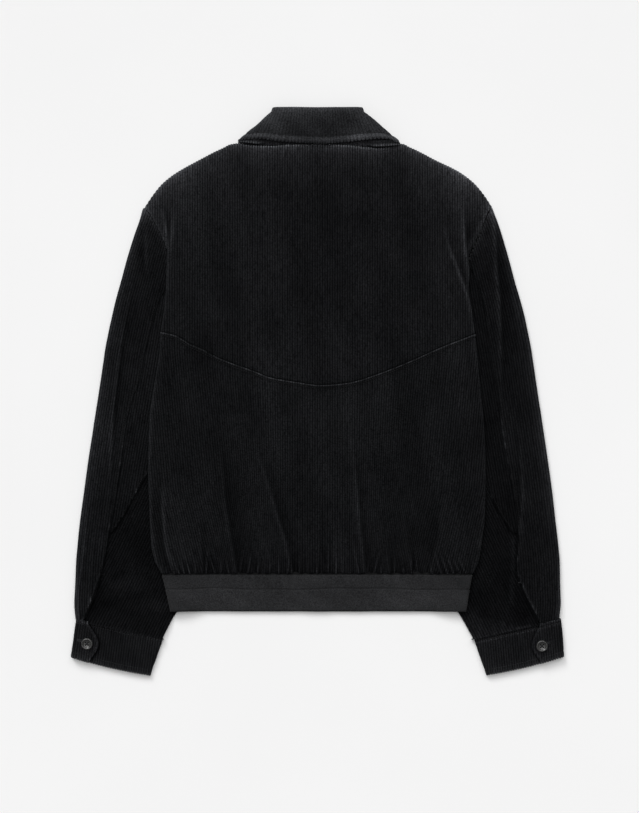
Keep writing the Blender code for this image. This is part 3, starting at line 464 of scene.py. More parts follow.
def zip_rows(rows):
    """Triangles between neighbouring rows, matched by their distance across."""
    faces = []
    start = 0
    for upper, lower in zip(rows, rows[1:]):
        a0, b0 = start, start + len(upper)
        i = j = 0
        last_i, last_j = len(upper) - 1, len(lower) - 1
        while i < last_i or j < last_j:
            if i < last_i and (j >= last_j or upper[i + 1][0] <= lower[j + 1][0]):
                faces.append((a0 + i, b0 + j, a0 + i + 1))
                i += 1
            else:
                faces.append((a0 + i, b0 + j, b0 + j + 1))
                j += 1
        start = b0
    return np.array(faces, np.int64)


def normals_of(points, faces):
    a, b, c = points[faces[:, 0]], points[faces[:, 1]], points[faces[:, 2]]
    across = np.cross(b - a, c - a)
    total = np.zeros_like(points)
    for k in range(3):
        np.add.at(total, faces[:, k], across)
    length = np.linalg.norm(total, axis=1, keepdims=True)
    return total / np.maximum(length, 1e-12)


def noise(a, b, seed):
    """A smooth unevenness between about -1 and 1."""
    return (
        np.sin(a * 1.0 + seed)
        + np.sin(a * 0.37 + b * 0.61 + 1.7 * seed)
        + np.sin(b * 1.13 - a * 0.23 + 2.9 * seed)
        + np.sin(a * 2.3 + b * 1.9 + 0.7 * seed)
    ) / 2.6


def rim_of(faces):
    """The edges that one face uses, in that face's direction."""
    edges = np.concatenate([faces[:, [0, 1]], faces[:, [1, 2]], faces[:, [2, 0]]])
    big = int(edges.max()) + 1
    key = edges.min(axis=1) * big + edges.max(axis=1)
    _, where, count = np.unique(key, return_index=True, return_counts=True)
    return edges[where[count == 1]]


def new_object(name, points, faces, finish, maps=None, nodes=()):
    mesh = bpy.data.meshes.new(name)
    mesh.from_pydata((points * MM).tolist(), [], [tuple(face) for face in faces])
    mesh.shade_smooth()
    loops = np.empty(len(mesh.loops), np.int32)
    mesh.loops.foreach_get("vertex_index", loops)
    for map_name, values in (maps or {}).items():
        layer = mesh.uv_layers.new(name=map_name)
        layer.data.foreach_set("uv", values[loops].astype(np.float32).ravel())
    made = bpy.data.objects.new(name, mesh)
    bpy.context.scene.collection.objects.link(made)
    mesh.materials.append(finish)
    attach(made, "jacket")
    if nodes:
        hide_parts(*nodes)
    return made


def skin(name, parts, finish, nodes, rim=1.9, lining=False):
    """One piece of cloth from parts: (rows, relief, flip) and, where ribs slant, the count across.

    A row is a list of (s, x, y, z, ribbed). relief(s, x, y, ribbed) gives the height over it and
    the painted light and shade: how much lighter the colour is painted where the cloth catches the
    light, or darker below 0 where shade falls, with some random unevenness of tone mixed in.
    """
    all_points, all_faces, all_weave, all_painted_light = [], [], [], []
    offset = 0
    for part in parts:
        rows, relief, flip = part[:3]
        table = np.array([entry for row in rows for entry in row], float)
        faces = zip_rows(rows)
        if flip:
            faces = faces[:, ::-1]
        s, points, ribbed = table[:, 0], table[:, 1:4], table[:, 4]
        counted = part[3] if len(part) > 3 else s
        normals = normals_of(points, faces)
        height, painted_light_and_tone = relief(s, points[:, 0], points[:, 1], ribbed)
        painted_light_and_tone = np.stack([painted_light_and_tone, ribbed], axis=1)
        outer = points + normals * height[:, None]
        inner = points - normals * rim
        outer[:, 2] = np.maximum(outer[:, 2], 0.0)
        inner[:, 2] = np.maximum(inner[:, 2], 0.0)
        weave = np.stack([counted / PITCH, points[:, 1] * MM], axis=1)
        edges = rim_of(faces)
        count = len(points)
        faces = [tuple(face) for face in faces]
        if lining:
            faces += [(c + count, b + count, a + count) for a, b, c in faces]
            faces += [(b, a, a + count, b + count) for a, b in edges]
            outer = np.concatenate([outer, inner])
            weave = np.concatenate([weave, weave])
            painted_light_and_tone = np.concatenate([painted_light_and_tone, painted_light_and_tone])
        else:
            used = np.unique(edges)
            place = {int(v): count + k for k, v in enumerate(used)}
            faces += [(b, a, place[int(a)], place[int(b)]) for a, b in edges]
            outer = np.concatenate([outer, inner[used]])
            weave = np.concatenate([weave, weave[used]])
            painted_light_and_tone = np.concatenate([painted_light_and_tone, painted_light_and_tone[used]])
        all_points.append(outer)
        all_weave.append(weave)
        all_painted_light.append(painted_light_and_tone)
        all_faces += [tuple(int(v) + offset for v in face) for face in faces]
        offset += len(outer)
    points = np.concatenate(all_points)
    maps = {"weave": np.concatenate(all_weave), "painted_light_and_tone": np.concatenate(all_painted_light)}
    return new_object(name, points, all_faces, finish, maps, nodes)


# --- Materials ---


class Nodes:
    """A material's node tree, built a node at a time."""

    def __init__(self, name):
        self.material = bpy.data.materials.new(name)
        self.material.use_nodes = True
        self.tree = self.material.node_tree
        self.shader = self.tree.nodes["Principled BSDF"]

    def set(self, **values):
        for name, value in values.items():
            self.shader.inputs[name.replace("_", " ")].default_value = value

    def link(self, source, target):
        self.tree.links.new(source, target)

    def feed(self, socket, value):
        """A socket's number or colour, or what it is linked to."""
        if isinstance(value, (int, float)):
            socket.default_value = value
        elif isinstance(value, tuple):
            socket.default_value = (*value, 1.0)
        elif value is not None:
            self.link(value, socket)

    def add(self, kind, feeds=(), **settings):
        """A node, with (socket, value) pairs that it is fed with."""
        node = self.tree.nodes.new(kind)
        for name, value in settings.items():
            setattr(node, name, value)
        for socket, value in feeds:
            self.feed(node.inputs[socket], value)
        return node

    def maths(self, operation, a, b=None, c=None):
        return self.add("ShaderNodeMath", enumerate((a, b, c)), operation=operation).outputs[0]

    def fit(self, value, times, plus):
        """value * times + plus"""
        return self.maths("MULTIPLY_ADD", value, times, plus)

    def finish(self, colour, normal):
        """The finished material."""
        self.link(colour, self.shader.inputs["Base Color"])
        self.link(normal, self.shader.inputs["Normal"])
        return self.material

    def place(self, output):
        if output in ("weave", "painted_light_and_tone"):
            return self.add("ShaderNodeUVMap", uv_map=output).outputs[0]
        return self.add("ShaderNodeTexCoord").outputs[output]

    def painted_shading(self):
        """How much lighter or darker the painted light and shade, with the random tone, make the cloth."""
        painted_light_and_tone = self.add("ShaderNodeSeparateXYZ", [(0, self.place("painted_light_and_tone"))]).outputs[0]
        return self.maths("EXPONENT", self.maths("MULTIPLY", painted_light_and_tone, 0.9))

    def times(self, colour, factor):
        """A colour multiplied by a number."""
        tint = self.add("ShaderNodeCombineColor", enumerate((factor, factor, factor))).outputs[0]
        feeds = [(0, 1.0), (6, colour), (7, tint)]
        return self.add("ShaderNodeMix", feeds, data_type="RGBA", blend_type="MULTIPLY").outputs[2]

    def noise(self, vector, scale, detail=2.0, stretch=(1.0, 1.0, 1.0), rough=0.5):
        moved = self.add("ShaderNodeMapping", [("Vector", vector)])
        moved.inputs["Scale"].default_value = stretch
        feeds = [("Vector", moved.outputs[0]), ("Scale", scale), ("Detail", detail), ("Roughness", rough)]
        return self.add("ShaderNodeTexNoise", feeds).outputs["Fac"]

    def ramp(self, value, *stops):
        """The colour at a value, between stops of (value, colour)."""
        node = self.add("ShaderNodeValToRGB", [("Fac", value)])
        ramp = node.color_ramp
        while len(ramp.elements) < len(stops):
            ramp.elements.new(0.5)
        for element, (place, colour) in zip(ramp.elements, stops):
            element.position = place
            element.color = (*colour, 1.0)
        return node.outputs["Color"]

    def bump(self, height, strength, distance, before=None):
        feeds = [("Height", height), ("Strength", strength), ("Distance", distance), ("Normal", before)]
        return self.add("ShaderNodeBump", feeds).outputs["Normal"]


def corduroy(name, crest, groove, modelled=True, sheen=0.03):
    """Cut pile on ribs: painted dark in the grooves for their shade, softly shiny on the crests, uneven
    all over.
    """
    made = Nodes(name)
    made.set(Roughness=0.85, Specular_IOR_Level=0.0)
    made.set(Sheen_Weight=sheen, Sheen_Roughness=0.48, Sheen_Tint=(0.86, 0.92, 1.0, 1.0))
    weave = made.place("weave")
    solid = made.place("Object")
    across = made.add("ShaderNodeSeparateXYZ", [(0, weave)]).outputs[0]
    away = made.maths("ABSOLUTE", made.fit(made.maths("FRACT", across), 2.0, -1.0))
    height = made.maths("SUBTRACT", 1.0, made.maths("POWER", away, RIB_SHAPE))
    fuzz = made.noise(solid, 1100.0, 3.0, rough=0.75)
    lint = made.noise(solid, 620.0, 2.0, rough=0.6)
    cloudy = made.noise(solid, 16.0, 3.0)
    streak = made.noise(weave, 1.0, 2.0, stretch=(0.9, 60.0, 1.0))
    # the ramp paints the grooves dark for the shade in them, the crests in the cloth's colour
    tone = made.fit(fuzz, 0.9, made.fit(height, 0.8, -0.28))
    tone = made.maths("MULTIPLY", tone, made.fit(streak, 1.5, 0.25))
    colour = made.ramp(tone, (0.0, groove), (0.95, crest))
    uneven = made.fit(cloudy, 0.9, 0.55)
    flecks = made.maths("MAXIMUM", made.fit(lint, 3.2, -0.6), 0.2)
    uneven = made.maths("MULTIPLY", uneven, flecks)
    # the relief's painted light and shade, with its random tone
    if modelled:
        uneven = made.maths("MULTIPLY", uneven, made.painted_shading())
    nap = made.noise(weave, 1.0, 2.0, stretch=(3.0, 900.0, 1.0), rough=0.6)
    normal = made.bump(fuzz, 0.45, 0.0005)
    normal = made.bump(nap, 0.35, 0.0004, normal)
    if not modelled:
        normal = made.bump(height, 0.9, 0.0008, normal)
    return made.finish(made.times(colour, uneven), normal)


def smooth_cloth(name, low, high, modelled=True):
    """The band's fine, heathered knit, with the relief's painted light and shade where it is modelled."""
    made = Nodes(name)
    made.set(Roughness=0.9, Specular_IOR_Level=0.05, Sheen_Weight=0.06, Sheen_Roughness=0.5)
    solid = made.place("Object")
    speck = made.noise(solid, 760.0, 2.0, rough=0.7)
    cloudy = made.noise(solid, 22.0, 2.0)
    tone = made.fit(cloudy, 0.1, made.maths("MULTIPLY", speck, 0.95))
    colour = made.ramp(tone, (0.34, low), (0.7, high))
    if modelled:
        colour = made.times(colour, made.painted_shading())
    feeds = [("Vector", solid), ("Scale", 320.0), ("Distortion", 1.0), ("Detail", 1.0)]
    knit = made.add("ShaderNodeTexWave", feeds, wave_type="BANDS", bands_direction="X")
    normal = made.bump(knit.outputs["Fac"], 0.2, 0.0002)
    return made.finish(colour, made.bump(speck, 0.3, 0.0003, normal))


def thread_finish(name, colour):
    """Sewing thread, with its twist as fine bump."""
    made = Nodes(name)
    made.set(Roughness=0.7, Specular_IOR_Level=0.12, Sheen_Weight=0.03)
    twist = made.noise(made.place("Object"), 2600.0, 1.0)
    shade = made.ramp(twist, (0.3, tuple(0.6 * c for c in colour)), (0.7, colour))
    return made.finish(shade, made.bump(twist, 0.4, 0.0002))


def plastic(name):
    """Dark polished horn-like plastic with faint clouds and small scratches."""
    made = Nodes(name)
    made.set(Roughness=0.26, Specular_IOR_Level=0.45, Coat_Weight=0.2, Coat_Roughness=0.12)
    solid = made.place("Object")
    cloudy = made.noise(solid, 160.0, 3.0)
    colour = made.ramp(cloudy, (0.3, (0.012, 0.012, 0.012)), (0.75, (0.03, 0.03, 0.029)))
    scratch = made.noise(solid, 900.0, 2.0, stretch=(1.0, 7.0, 1.0))
    return made.finish(colour, made.bump(scratch, 0.08, 0.0001))


def metal(name):
    """Grey metal with fine scratches."""
    made = Nodes(name)
    made.set(Metallic=1.0, Roughness=0.34)
    grain = made.noise(made.place("Object"), 700.0, 3.0, stretch=(1.0, 6.0, 1.0))
    colour = made.ramp(grain, (0.3, (0.2, 0.2, 0.2)), (0.8, (0.36, 0.36, 0.36)))
    return made.finish(colour, made.bump(grain, 0.15, 0.0001))


# GROOVE is painted much darker than the crests, for the shade in the grooves
CREST, GROOVE = (0.0088, 0.009, 0.0098), (0.0002, 0.0002, 0.0003)
CORD = corduroy("corduroy_pile", CREST, GROOVE)
# The collar's copy is painted lighter, for the extra light that the collar catches
CORD_COLLAR = corduroy("corduroy_collar", (0.0147, 0.0151, 0.0163), (0.0064, 0.0066, 0.0071), sheen=0.04)
CORD_UNDER = corduroy("corduroy_under", CREST, GROOVE, False)
CORD_DEEP = corduroy("corduroy_stand", (0.014, 0.0143, 0.0155), (0.003, 0.003, 0.0034), False)
BAND = smooth_cloth("band_knit", (0.0052, 0.0054, 0.0058), (0.0275, 0.0279, 0.0296))
BAND_UNDER = smooth_cloth("band_under", (0.006, 0.0062, 0.0066), (0.029, 0.0294, 0.0312), False)
PLACKET = smooth_cloth("placket_cloth", (0.0015, 0.0015, 0.0017), (0.006, 0.006, 0.0066), False)
THREAD = thread_finish("thread", (0.014, 0.0145, 0.0157))
THREAD_DARK = thread_finish("thread_dark", (0.0068, 0.007, 0.0077))
THREAD_LIGHT = thread_finish("thread_light", (0.03, 0.0308, 0.033))
HORN_FINISH = plastic("button_horn")
METAL = metal("zip_grey_metal")
TAPE = smooth_cloth("zip_tape_weave", (0.005, 0.005, 0.006), (0.016, 0.016, 0.018), False)


# --- Back ---


SHOWN_TURN = 2.6  # how far round the body's sides the ribs are modelled, in radians
DRAWN_TOP = -135.0  # below this the ribs lean inwards more strongly


def back_side(side, y, extra):
    """(centre, radius, turn, top, end, shown end) of a row's side, as distances across the cloth."""
    edge = BODY_EDGE[side](y) - (SEAM if BODY_SIDE["turn"](y) < 1.0 else 0.0)
    top = back_height(side * edge, y) + extra
    bottom = under_height(edge, y, BODY_SIDE["stack"](y))
    radius = (top - bottom) / 2.0
    turn = math.radians(BODY_SIDE["turn"](y))
    centre = edge - radius * math.sin(min(turn, math.pi / 2.0))
    end = centre + radius * turn
    shown = end
    if turn > math.radians(170.0):
        shown = centre + radius * min(turn, SHOWN_TURN)
        end += centre - UNDER_EDGE(y) - SEAM / 2.0
    return centre, radius, turn, top, end, shown


def lean_of(s):
    """How much the lower back's ribs lean inwards for each millimetre down, from the middle out."""
    return 0.1 * smooth((s - 35.0) / 120.0)


def unleaned(w, height):
    """The distance across of a rib that is w across before the ribs lean."""
    s = w
    for _ in range(8):
        s = w - lean_of(s) * height
    return s


def back_rows(places, extra=0.0, lean_top=None):
    """Rows of the back. Each place is (y_at, turn_y, drop share).

    Below lean_top the ribs draw together towards the waistband.
    """
    rows = []
    for y_at, turn_y, share in places:
        halves = {}
        for side in SIDES:
            y_end = turn_y[side]
            centre, radius, turn, top, end, shown = back_side(side, y_end, extra)
            half = []
            below = 0.0
            if lean_top is not None:
                below = max(lean_top - y_end, 0.0) + 1.3 * max(DRAWN_TOP - y_end, 0.0)
            leaned = [d + lean_of(d) * below for d in (0.0, 0.0, shown, end)]
            for w, ribbed in positions(*leaned):
                s = unleaned(w, below)
                if s <= centre:
                    x = side * s
                    y = y_at(x, x / centre)
                    z = back_height(x, y) + extra
                    if share:
                        z -= share * edge_drop(x, z)
                else:
                    angle = (s - centre) / radius
                    if angle <= turn:
                        d = centre + radius * math.sin(angle)
                        z = top - radius * (1.0 - math.cos(angle))
                    else:
                        d = centre - (s - centre - radius * turn)
                        z = top - 2.0 * radius
                    x, y = side * d, y_end
                half.append((side * w, x, y, z, ribbed))
            halves[side] = half
        rows.append(halves[LEFT][:0:-1] + halves[RIGHT])
    return rows


def pucker(x, seed, spacing=9.0):
    """The uneven drawing-in of cloth along a line of stitches, from -1 to 1."""
    wobble = np.sin(x / spacing * 6.283 + 2.1 * np.sin(x / 23.0 + seed) + seed)
    return wobble * (0.65 + 0.35 * np.sin(x / 31.0 + 2.0 * seed))


def hem_wave(x, across):
    """How the gathered cloth and the band's top edge wander up and down together."""
    drawn = 0.6 * pucker(x, 5.0, 13.0) + 0.4 * pucker(x, 2.0, 31.0)
    return drawn * smooth((1.0 - abs(across)) / 0.06)


YOKE_X = np.linspace(-225.0, 225.0, 451)
YOKE_Y = np.array([YOKE_SEAM(x) for x in YOKE_X])
YOKE_TOP_Y = np.array([YOKE_TOP(x) for x in YOKE_X])


def seam_relief(x, y):
    """The yoke seam: the lower piece's edge stands up, stitched down just below."""
    away = y - np.interp(x, YOKE_X, YOKE_Y)
    above = np.where(away > 0.0, -0.9 * bell(away, 1.3), 0.0)
    depth = np.maximum(-away, 0.0)
    lifted = 0.85 * bell(depth - 1.2, 2.0) * (1.0 + 0.25 * pucker(x, 1.3))
    stitched = -0.6 * bell(depth - 5.0, 1.0)
    near = bell(away, 11.0)
    below = np.where(away <= 0.0, lifted + stitched, 0.0)
    # painted highlight on the raised edge; painted shade above the seam and along the stitches
    bright = bell(depth - 0.7, 0.9) * (1.4 + 0.7 * pucker(x, 2.0, 17.0))
    painted_light_and_tone = np.where(away <= 0.0, bright, -0.5 * bell(away, 2.0))
    painted_light_and_tone = painted_light_and_tone - 0.35 * bell(depth - 5.0, 1.6) * (away <= 0.0)
    return above + below + 0.22 * near * pucker(x, 0.4, 12.0), painted_light_and_tone


# Long folds: the line of each one's crest from its top down, the crest's height, the depth of the
# trough beside it, the side of the trough (1 to the right) and its width.
PLEATS = (
    (((-140, -60), (-132, -125), (-131, -150), (-125, -189), (-122, -209), (-114, -256)), 1.0, 3.4, 1, 15),
    (((-95, -50), (-71, -125), (-58, -169), (-52, -189), (-44, -214), (-37, -256)), 1.2, 3.6, 1, 15),
    (((44, -40), (51, -90), (57, -160), (60, -198), (62, -211), (66, -256)), 1.1, 3.6, 1, 12),
    (((48, -205), (50, -222), (55, -256)), 0.6, 2.4, -1, 7),
    (((-166, -150), (-164, -208), (-160, -256)), 0.4, 2.8, 1, 9),
    (((118, -150), (124, -200), (131, -256)), 0.4, 2.6, 1, 12),
    (((-214, -100), (-217, -160), (-213, -210), (-209, -230), (-198, -256)), 1.8, 3.0, -1, 12),
    (((5, -140), (2, -205), (0, -256)), 0.3, 2.2, 1, 10),
    (((-103, -195), (-97, -228), (-91, -256)), 0.4, 2.4, 1, 8),
    (((178, -120), (170, -205), (158, -256)), 0.4, 2.4, -1, 18),
    (((22, -190), (22, -225), (21, -256)), 0.3, 1.8, -1, 7),
    (((93, -190), (98, -225), (101, -256)), 0.3, 2.0, 1, 9),
)
YOKE_CREASES = (
    (((-218, 264), (-212, 231), (-208, 194)), 2.3, 3.6, 1, 5),
    (((-204, 264), (-204, 231), (-206, 188)), 2.0, 2.6, -1, 5),
    (((203, 262), (206, 211), (209, 168)), 2.0, 3.6, 1, 15),
    (((176, 250), (182, 210), (191, 185), (208, 137), (217, 98)), 2.2, 3.0, 1, 8),
    (((-39, 346), (-44, 341), (-49, 330)), 2.0, 2.4, 1, 6),
    (((-25, 345), (-31, 340), (-34, 331)), 1.2, 1.6, 1, 7),
)
SLEEVE_CREASES = {
    LEFT: (
        (((-236, 252), (-241, 211), (-240, 181), (-236, 150)), 1.4, 2.6, -1, 10),
        (
            ((-248, 205), (-261, 141), (-274, 71), (-281, 15), (-287, -40), (-290, -120), (-294, -178)),
            1.3, 5.0, 1, 8,
        ),
        (((-322, -150), (-325, -212), (-334, -276)), 1.5, 1.6, 1, 6),
        (((-312, -190), (-316, -240), (-318, -290)), 0.6, 1.2, 1, 6),
    ),
    RIGHT: (
        (
            ((243, 400), (245, 256), (248, 224), (250, 167), (254, 129), (256, 71), (257, -30)),
            1.9, 4.0, 1, 17,
        ),
        (((256, 215), (262, 186), (270, 148), (278, 110), (284, 50)), 0.8, 0.8, -1, 4),
        (((281, -34), (285, -97), (287, -146), (284, -185), (280, -252)), 1.6, 3.2, -1, 9),
        (((337, -205), (338, -260), (335, -322)), 1.3, 2.2, -1, 5),
        (((316, -100), (322, -170), (330, -250)), 0.5, 0.8, 1, 7),
    ),
}

LOW_PART = -150.0  # below this the cloth is drawn in towards the waistband and the cuffs

# Short blades of cloth between the waistband's stitches: place, length and lean.
BLADES = (
    (-200, 14, -0.5), (-193, 18, -0.4), (-186, 12, -0.3), (-178, 16, -0.3), (-170, 13, -0.1),
    (-155.5, 24, 0.05), (-143, 24, -0.35), (-135, 16, 0.0), (-124, 18, -0.2), (-109, 20, 0.15),
    (-98, 27, 0.2), (-84, 18, 0.1), (-66.5, 14, 0.0), (-54, 18, 0.0), (-42, 20, 0.1),
    (-35, 18, -0.1), (-25, 24, 0.0), (-14, 14, 0.0), (-1, 18, 0.05), (15, 38, 0.0), (26, 22, 0.0),
    (35, 14, 0.0), (58, 26, -0.2), (70, 14, 0.1), (79, 26, 0.25), (89, 12, 0.1), (108, 20, 0.0),
    (121, 12, -0.1), (132, 30, -0.05), (140, 22, -0.1), (160, 14, -0.2), (173, 26, -0.3),
    (182, 24, -0.35), (191, 26, -0.4), (200, 22, -0.5), (208, 24, -0.5),
)


def pleats(lines, x, y):
    """Long folds: each rises to a crest and falls off steeply on one side of it."""
    height, painted_light_and_tone = np.zeros_like(x), np.zeros_like(x)
    for line, crest, trough, turned, wide in lines:
        at = np.array(line, float)[::-1]
        away = (x - np.interp(y, at[:, 1], at[:, 0])) * turned
        length = at[-1, 1] - at[0, 1]
        fade = smooth_step((at[-1, 1] - y) / length * 1.8)
        if at[0, 1] > BAND_TOP + 2.0:
            fade = fade * clamp((y - at[0, 1]) / (0.3 * length))
        beside = np.maximum(away, 0.0)
        sharp = bell(away, 1.7)
        rise = crest * np.where(away < 0.0, bell(away, 10.0), sharp)
        hollow = (1.0 - bell(beside, 3.0)) * np.exp(-((beside / wide) ** 1.4))
        height += fade * (rise - trough * hollow)
        # painted highlight on the crest and painted shade in the trough
        lit = np.where(away < 0.0, bell(away, 3.5), sharp)
        painted_light_and_tone += fade * (0.5 * crest * lit - 0.19 * trough * hollow)
    return height, painted_light_and_tone


def blades(x, y):
    """The short blades, each a narrow crest between two dents."""
    depth = positive(y - BAND_TOP)
    height, painted_light_and_tone = np.zeros_like(x), np.zeros_like(x)
    for place, length, lean in BLADES:
        away = x - place - lean * depth
        fade = bell(depth, length)
        narrow = bell(away, 1.2 + depth * 0.02)
        dents = bell(away, 4.4)
        strong = 1.35 if abs(place) > 150 else 1.1
        height += strong * fade * (1.7 * narrow - 1.3 * dents)
        # painted highlight on each crest and painted shade in its dents
        painted_light_and_tone += strong * fade * (1.6 * narrow - 0.75 * dents)
    return height, painted_light_and_tone


def narrow_edge(y):
    """The body's edge on the side where it is narrower."""
    return min(BODY_EDGE[LEFT](y), BODY_EDGE[RIGHT](y))


def back_relief(s, x, y, ribbed):
    """The ribs, seams, folds and blades of the yoke and the lower back."""
    height = RIB * rib(s) + 0.05 * noise(s * 2.1, y * 0.9, 3.0) + 0.35 * noise(x * 0.045, y * 0.03, 1.0)
    height = height * ribbed
    seam, painted_light_and_tone = seam_relief(x, y)
    # drawn in at the waistband, with painted shade along the join and painted light on the puckers
    depth = positive(y - BAND_TOP)
    height += seam - 1.3 * bell(depth, 1.8)
    painted_light_and_tone -= 0.4 * bell(depth, 1.6)
    painted_light_and_tone += 0.5 * np.exp(-depth / 5.0) * pucker(x, 7.0, 6.5)
    # folds, with their painted highlights and shade
    for lines, near in ((PLEATS, y < -20.0), (YOKE_CREASES, y > 95.0)):
        high, painted_shading = pleats(lines, x[near], y[near])
        height[near] += high * ribbed[near]
        painted_light_and_tone[near] += painted_shading
    near = y < LOW_PART
    high, painted_shading = blades(x[near], y[near])
    height[near] += high * ribbed[near]
    painted_light_and_tone[near] += painted_shading
    # painted highlight along the yoke's top, stronger outwards, and on the ribs' ends at the neck; painted
    # light growing towards the top
    top = np.interp(x, YOKE_X, YOKE_TOP_Y) - y
    outwards = clamp((np.abs(x) - 90.0) / 130.0)
    rim = 1.1 * np.exp(-top / 4.2) + 1.5 * np.exp(-top / 36.0)
    painted_light_and_tone += rim * (0.45 + 0.55 * outwards) + 0.12 * np.clip(y / 300.0, -1.0, 1.0)
    neck = np.exp(-((x / 125.0) ** 6))
    teeth = bell(top - 0.6, 1.9) * (1.5 * rib(s) - 0.3)
    painted_light_and_tone += neck * (0.75 * teeth + 0.4 * np.exp(-top / 12.0))
    # painted highlight at the shoulders' corners and along the sides, painted shade in the right armhole,
    # and a little lighter low down
    corner = np.hypot(np.abs(x) - SHOULDER_TIP, y - 258.0)
    painted_light_and_tone += 0.9 * bell(corner, 12.0)
    side = at_rows(narrow_edge, y) - np.abs(x)
    painted_light_and_tone += np.where(y < 190.0, 0.8, 0.9) * fading(side, 2.4)
    armhole = clamp((y - 172.0) / 20.0) * clamp((x - 206.0) / 5.0)
    painted_light_and_tone -= (0.65 - 0.4 * clamp((y - 218.0) / 25.0)) * armhole
    painted_light_and_tone += 0.09 * clamp((LOW_PART - y) / 60.0)
    return height, painted_light_and_tone + 0.24 * noise(x * 0.05, y * 0.012, 5.0)


def seam_steps(length, fine):
    """Shares of the way along length (mm), with extra rows at its end for a seam."""
    count = max(2, round((length - fine[-1]) / ROW))
    steps = [k / count * (1.0 - fine[-1] / length) for k in range(count + 1)]
    return steps + [1.0 - distance / length for distance in reversed(fine[:-1])]


SHOULDER_REACH = 3.4  # how far the yoke's turned-down top stands out
YOKE_HALF = 218.0
BACK_LENGTH = 265.0  # from the yoke seam to the waistband


def make_back():
    """The yoke, turned down at its top, and the lower back below the yoke seam."""
    reach = SHOULDER_REACH
    places = []
    for turn in np.radians((0.0, 14.0, 28.0, 43.0, 58.0, 74.0, 90.0)).tolist():
        places.append((reach * (1.0 - math.cos(turn)), 1.0 - math.sin(turn), 0.0))
    for share in seam_steps(330.0, (0.0, 0.8, 1.6, 3.0, 5.0))[1:]:
        places.append((reach, 0.0, share))
    rows = []
    for offset, drop, share in places:

        def y_at(x, across, offset=offset, share=share):
            top = YOKE_TOP(across * SHOULDER_TIP)
            top += (1.0 if across > 0.0 else 0.4) * smooth((abs(across) - 0.35) / 0.25)
            seam = YOKE_SEAM(across * YOKE_HALF) + SEAM / 2.0
            return mix(top - offset, seam, share)

        turn_y = {side: y_at(0.0, float(side)) for side in SIDES}
        rows.append((y_at, turn_y, drop))
    made = skin("yoke_cloth", [(back_rows(rows), back_relief, False)], CORD, ["back_yoke"])

    # rows close to each other below the yoke seam and in the gathers
    lower = [0.0, 0.9, 2.0, 3.2, 4.4, 5.6, 8.0]
    step = 8.0
    while lower[-1] + step < 262.0:
        lower.append(lower[-1] + step)
        step = 8.0 if lower[-1] < 170.0 else 4.0 if lower[-1] < 248.0 else 2.0
    rows = []
    for distance in lower + [263.2, 264.2, BACK_LENGTH]:

        def y_at(x, across, share=distance / BACK_LENGTH):
            low = BAND_TOP + SEAM + hem_wave(x, across) * share**12
            return mix(YOKE_SEAM(across * YOKE_HALF) - SEAM / 2.0, low, share)

        turn_y = {side: y_at(0.0, float(side)) for side in SIDES}
        rows.append((y_at, turn_y, 0.0))
    made_rows = []
    for row in back_rows(rows, 0.0, 60.0):
        made_rows.append([(s, x, y, z + 0.3 * gather_height(x, y) * r, r) for s, x, y, z, r in row])
    made = skin("back_cloth", [(made_rows, back_relief, False)], CORD, ["back_lower"])


def plain_relief(s, x, y, ribbed):
    """No relief, for cloth that is hidden."""
    return 0.0 * s, 0.0 * s


def band_relief(s, x, y, ribbed):
    """Two lengths of smooth elastic with a seam between them, lightly drawn in."""
    seam = BAND_SEAM + 0.9 * np.sin(x / 34.0) + 0.5 * np.sin(x / 13.0)
    groove = bell(y - seam, 0.9)
    swell = bell(y - seam + 2.6, 1.8)
    top = positive(BAND_TOP - y)
    drawn = np.exp(-top / 9.0) * pucker(x, 5.0, 13.0)
    height = 0.3 * swell - 0.75 * groove - 1.5 * bell(top, 1.5) + 0.4 * drawn
    height += 0.2 * noise(x * 0.05, y * 0.08, 6.0)
    low = positive(y - BAND_BOTTOM)
    # painted light on the drawn-in waves and painted shade in the seam's groove, with random tone
    painted_light_and_tone = 0.16 * drawn - 0.35 * groove + 0.16 * noise(x * 0.05, y * 0.1, 2.0)
    # the lower length a little lighter; painted shade under the gathered cloth's edge and along the lower
    # fold
    painted_light_and_tone += np.where(y < seam, 0.14, 0.0) - 1.6 * bell(top, 1.1)
    painted_light_and_tone -= 0.7 * bell(low, 1.2)
    return height, painted_light_and_tone


BAND_EDGE = 4.2  # the thickness of the folded lower edge


def make_band():
    """The waistband's back, from under the gathered cloth to the fold at its lower edge."""
    step = [(BAND_TOP + 4.2, 0.75), (BAND_TOP + 1.7, 0.42), (BAND_TOP + 0.5, 0.16)]
    y = BAND_TOP - 0.4
    while y > BAND_BOTTOM + 4.0:
        step.append((y, 0.0))
        fine = abs(y - BAND_SEAM) < 4.0 or y > BAND_TOP - 4.0
        y -= 0.8 if fine else 2.2
    for angle in (0.0, 25.0, 50.0, 75.0, 100.0, 125.0, 150.0, 180.0):
        turn = math.radians(angle)
        place = BAND_BOTTOM - 0.4 + BAND_EDGE / 2.0 * (1.0 - math.sin(turn))
        step.append((place, (1.0 - math.cos(turn)) / 2.0))
    rows = []
    for y, drop in step:

        def y_at(x, across, y=y):
            return y + hem_wave(x, across) * smooth(1.0 - (BAND_TOP - y) / 8.0)

        at = [(y_at, {LEFT: y, RIGHT: y}, 0.0)]
        row = back_rows(at, 0.6)[0]
        coarse = row[::2] + ([row[-1]] if len(row) % 2 == 0 else [])
        rows.append([(s, x, yy, z - BAND_EDGE * drop, r) for s, x, yy, z, r in coarse])
    parts = [(rows, band_relief, False)]
    made = skin("waistband_cloth", parts, BAND, ["waistband_back"])


# --- Sleeves ---


def outer_seam(side, y):
    """Where the outer strip of a sleeve ends on its upper side."""
    upper = SLEEVE_EDGE if y > GUSSET_TOP[side] + 1.0 else BACK_SEAM
    return upper[side](y) + SEAM / 2.0 - seam_bow(side, y)


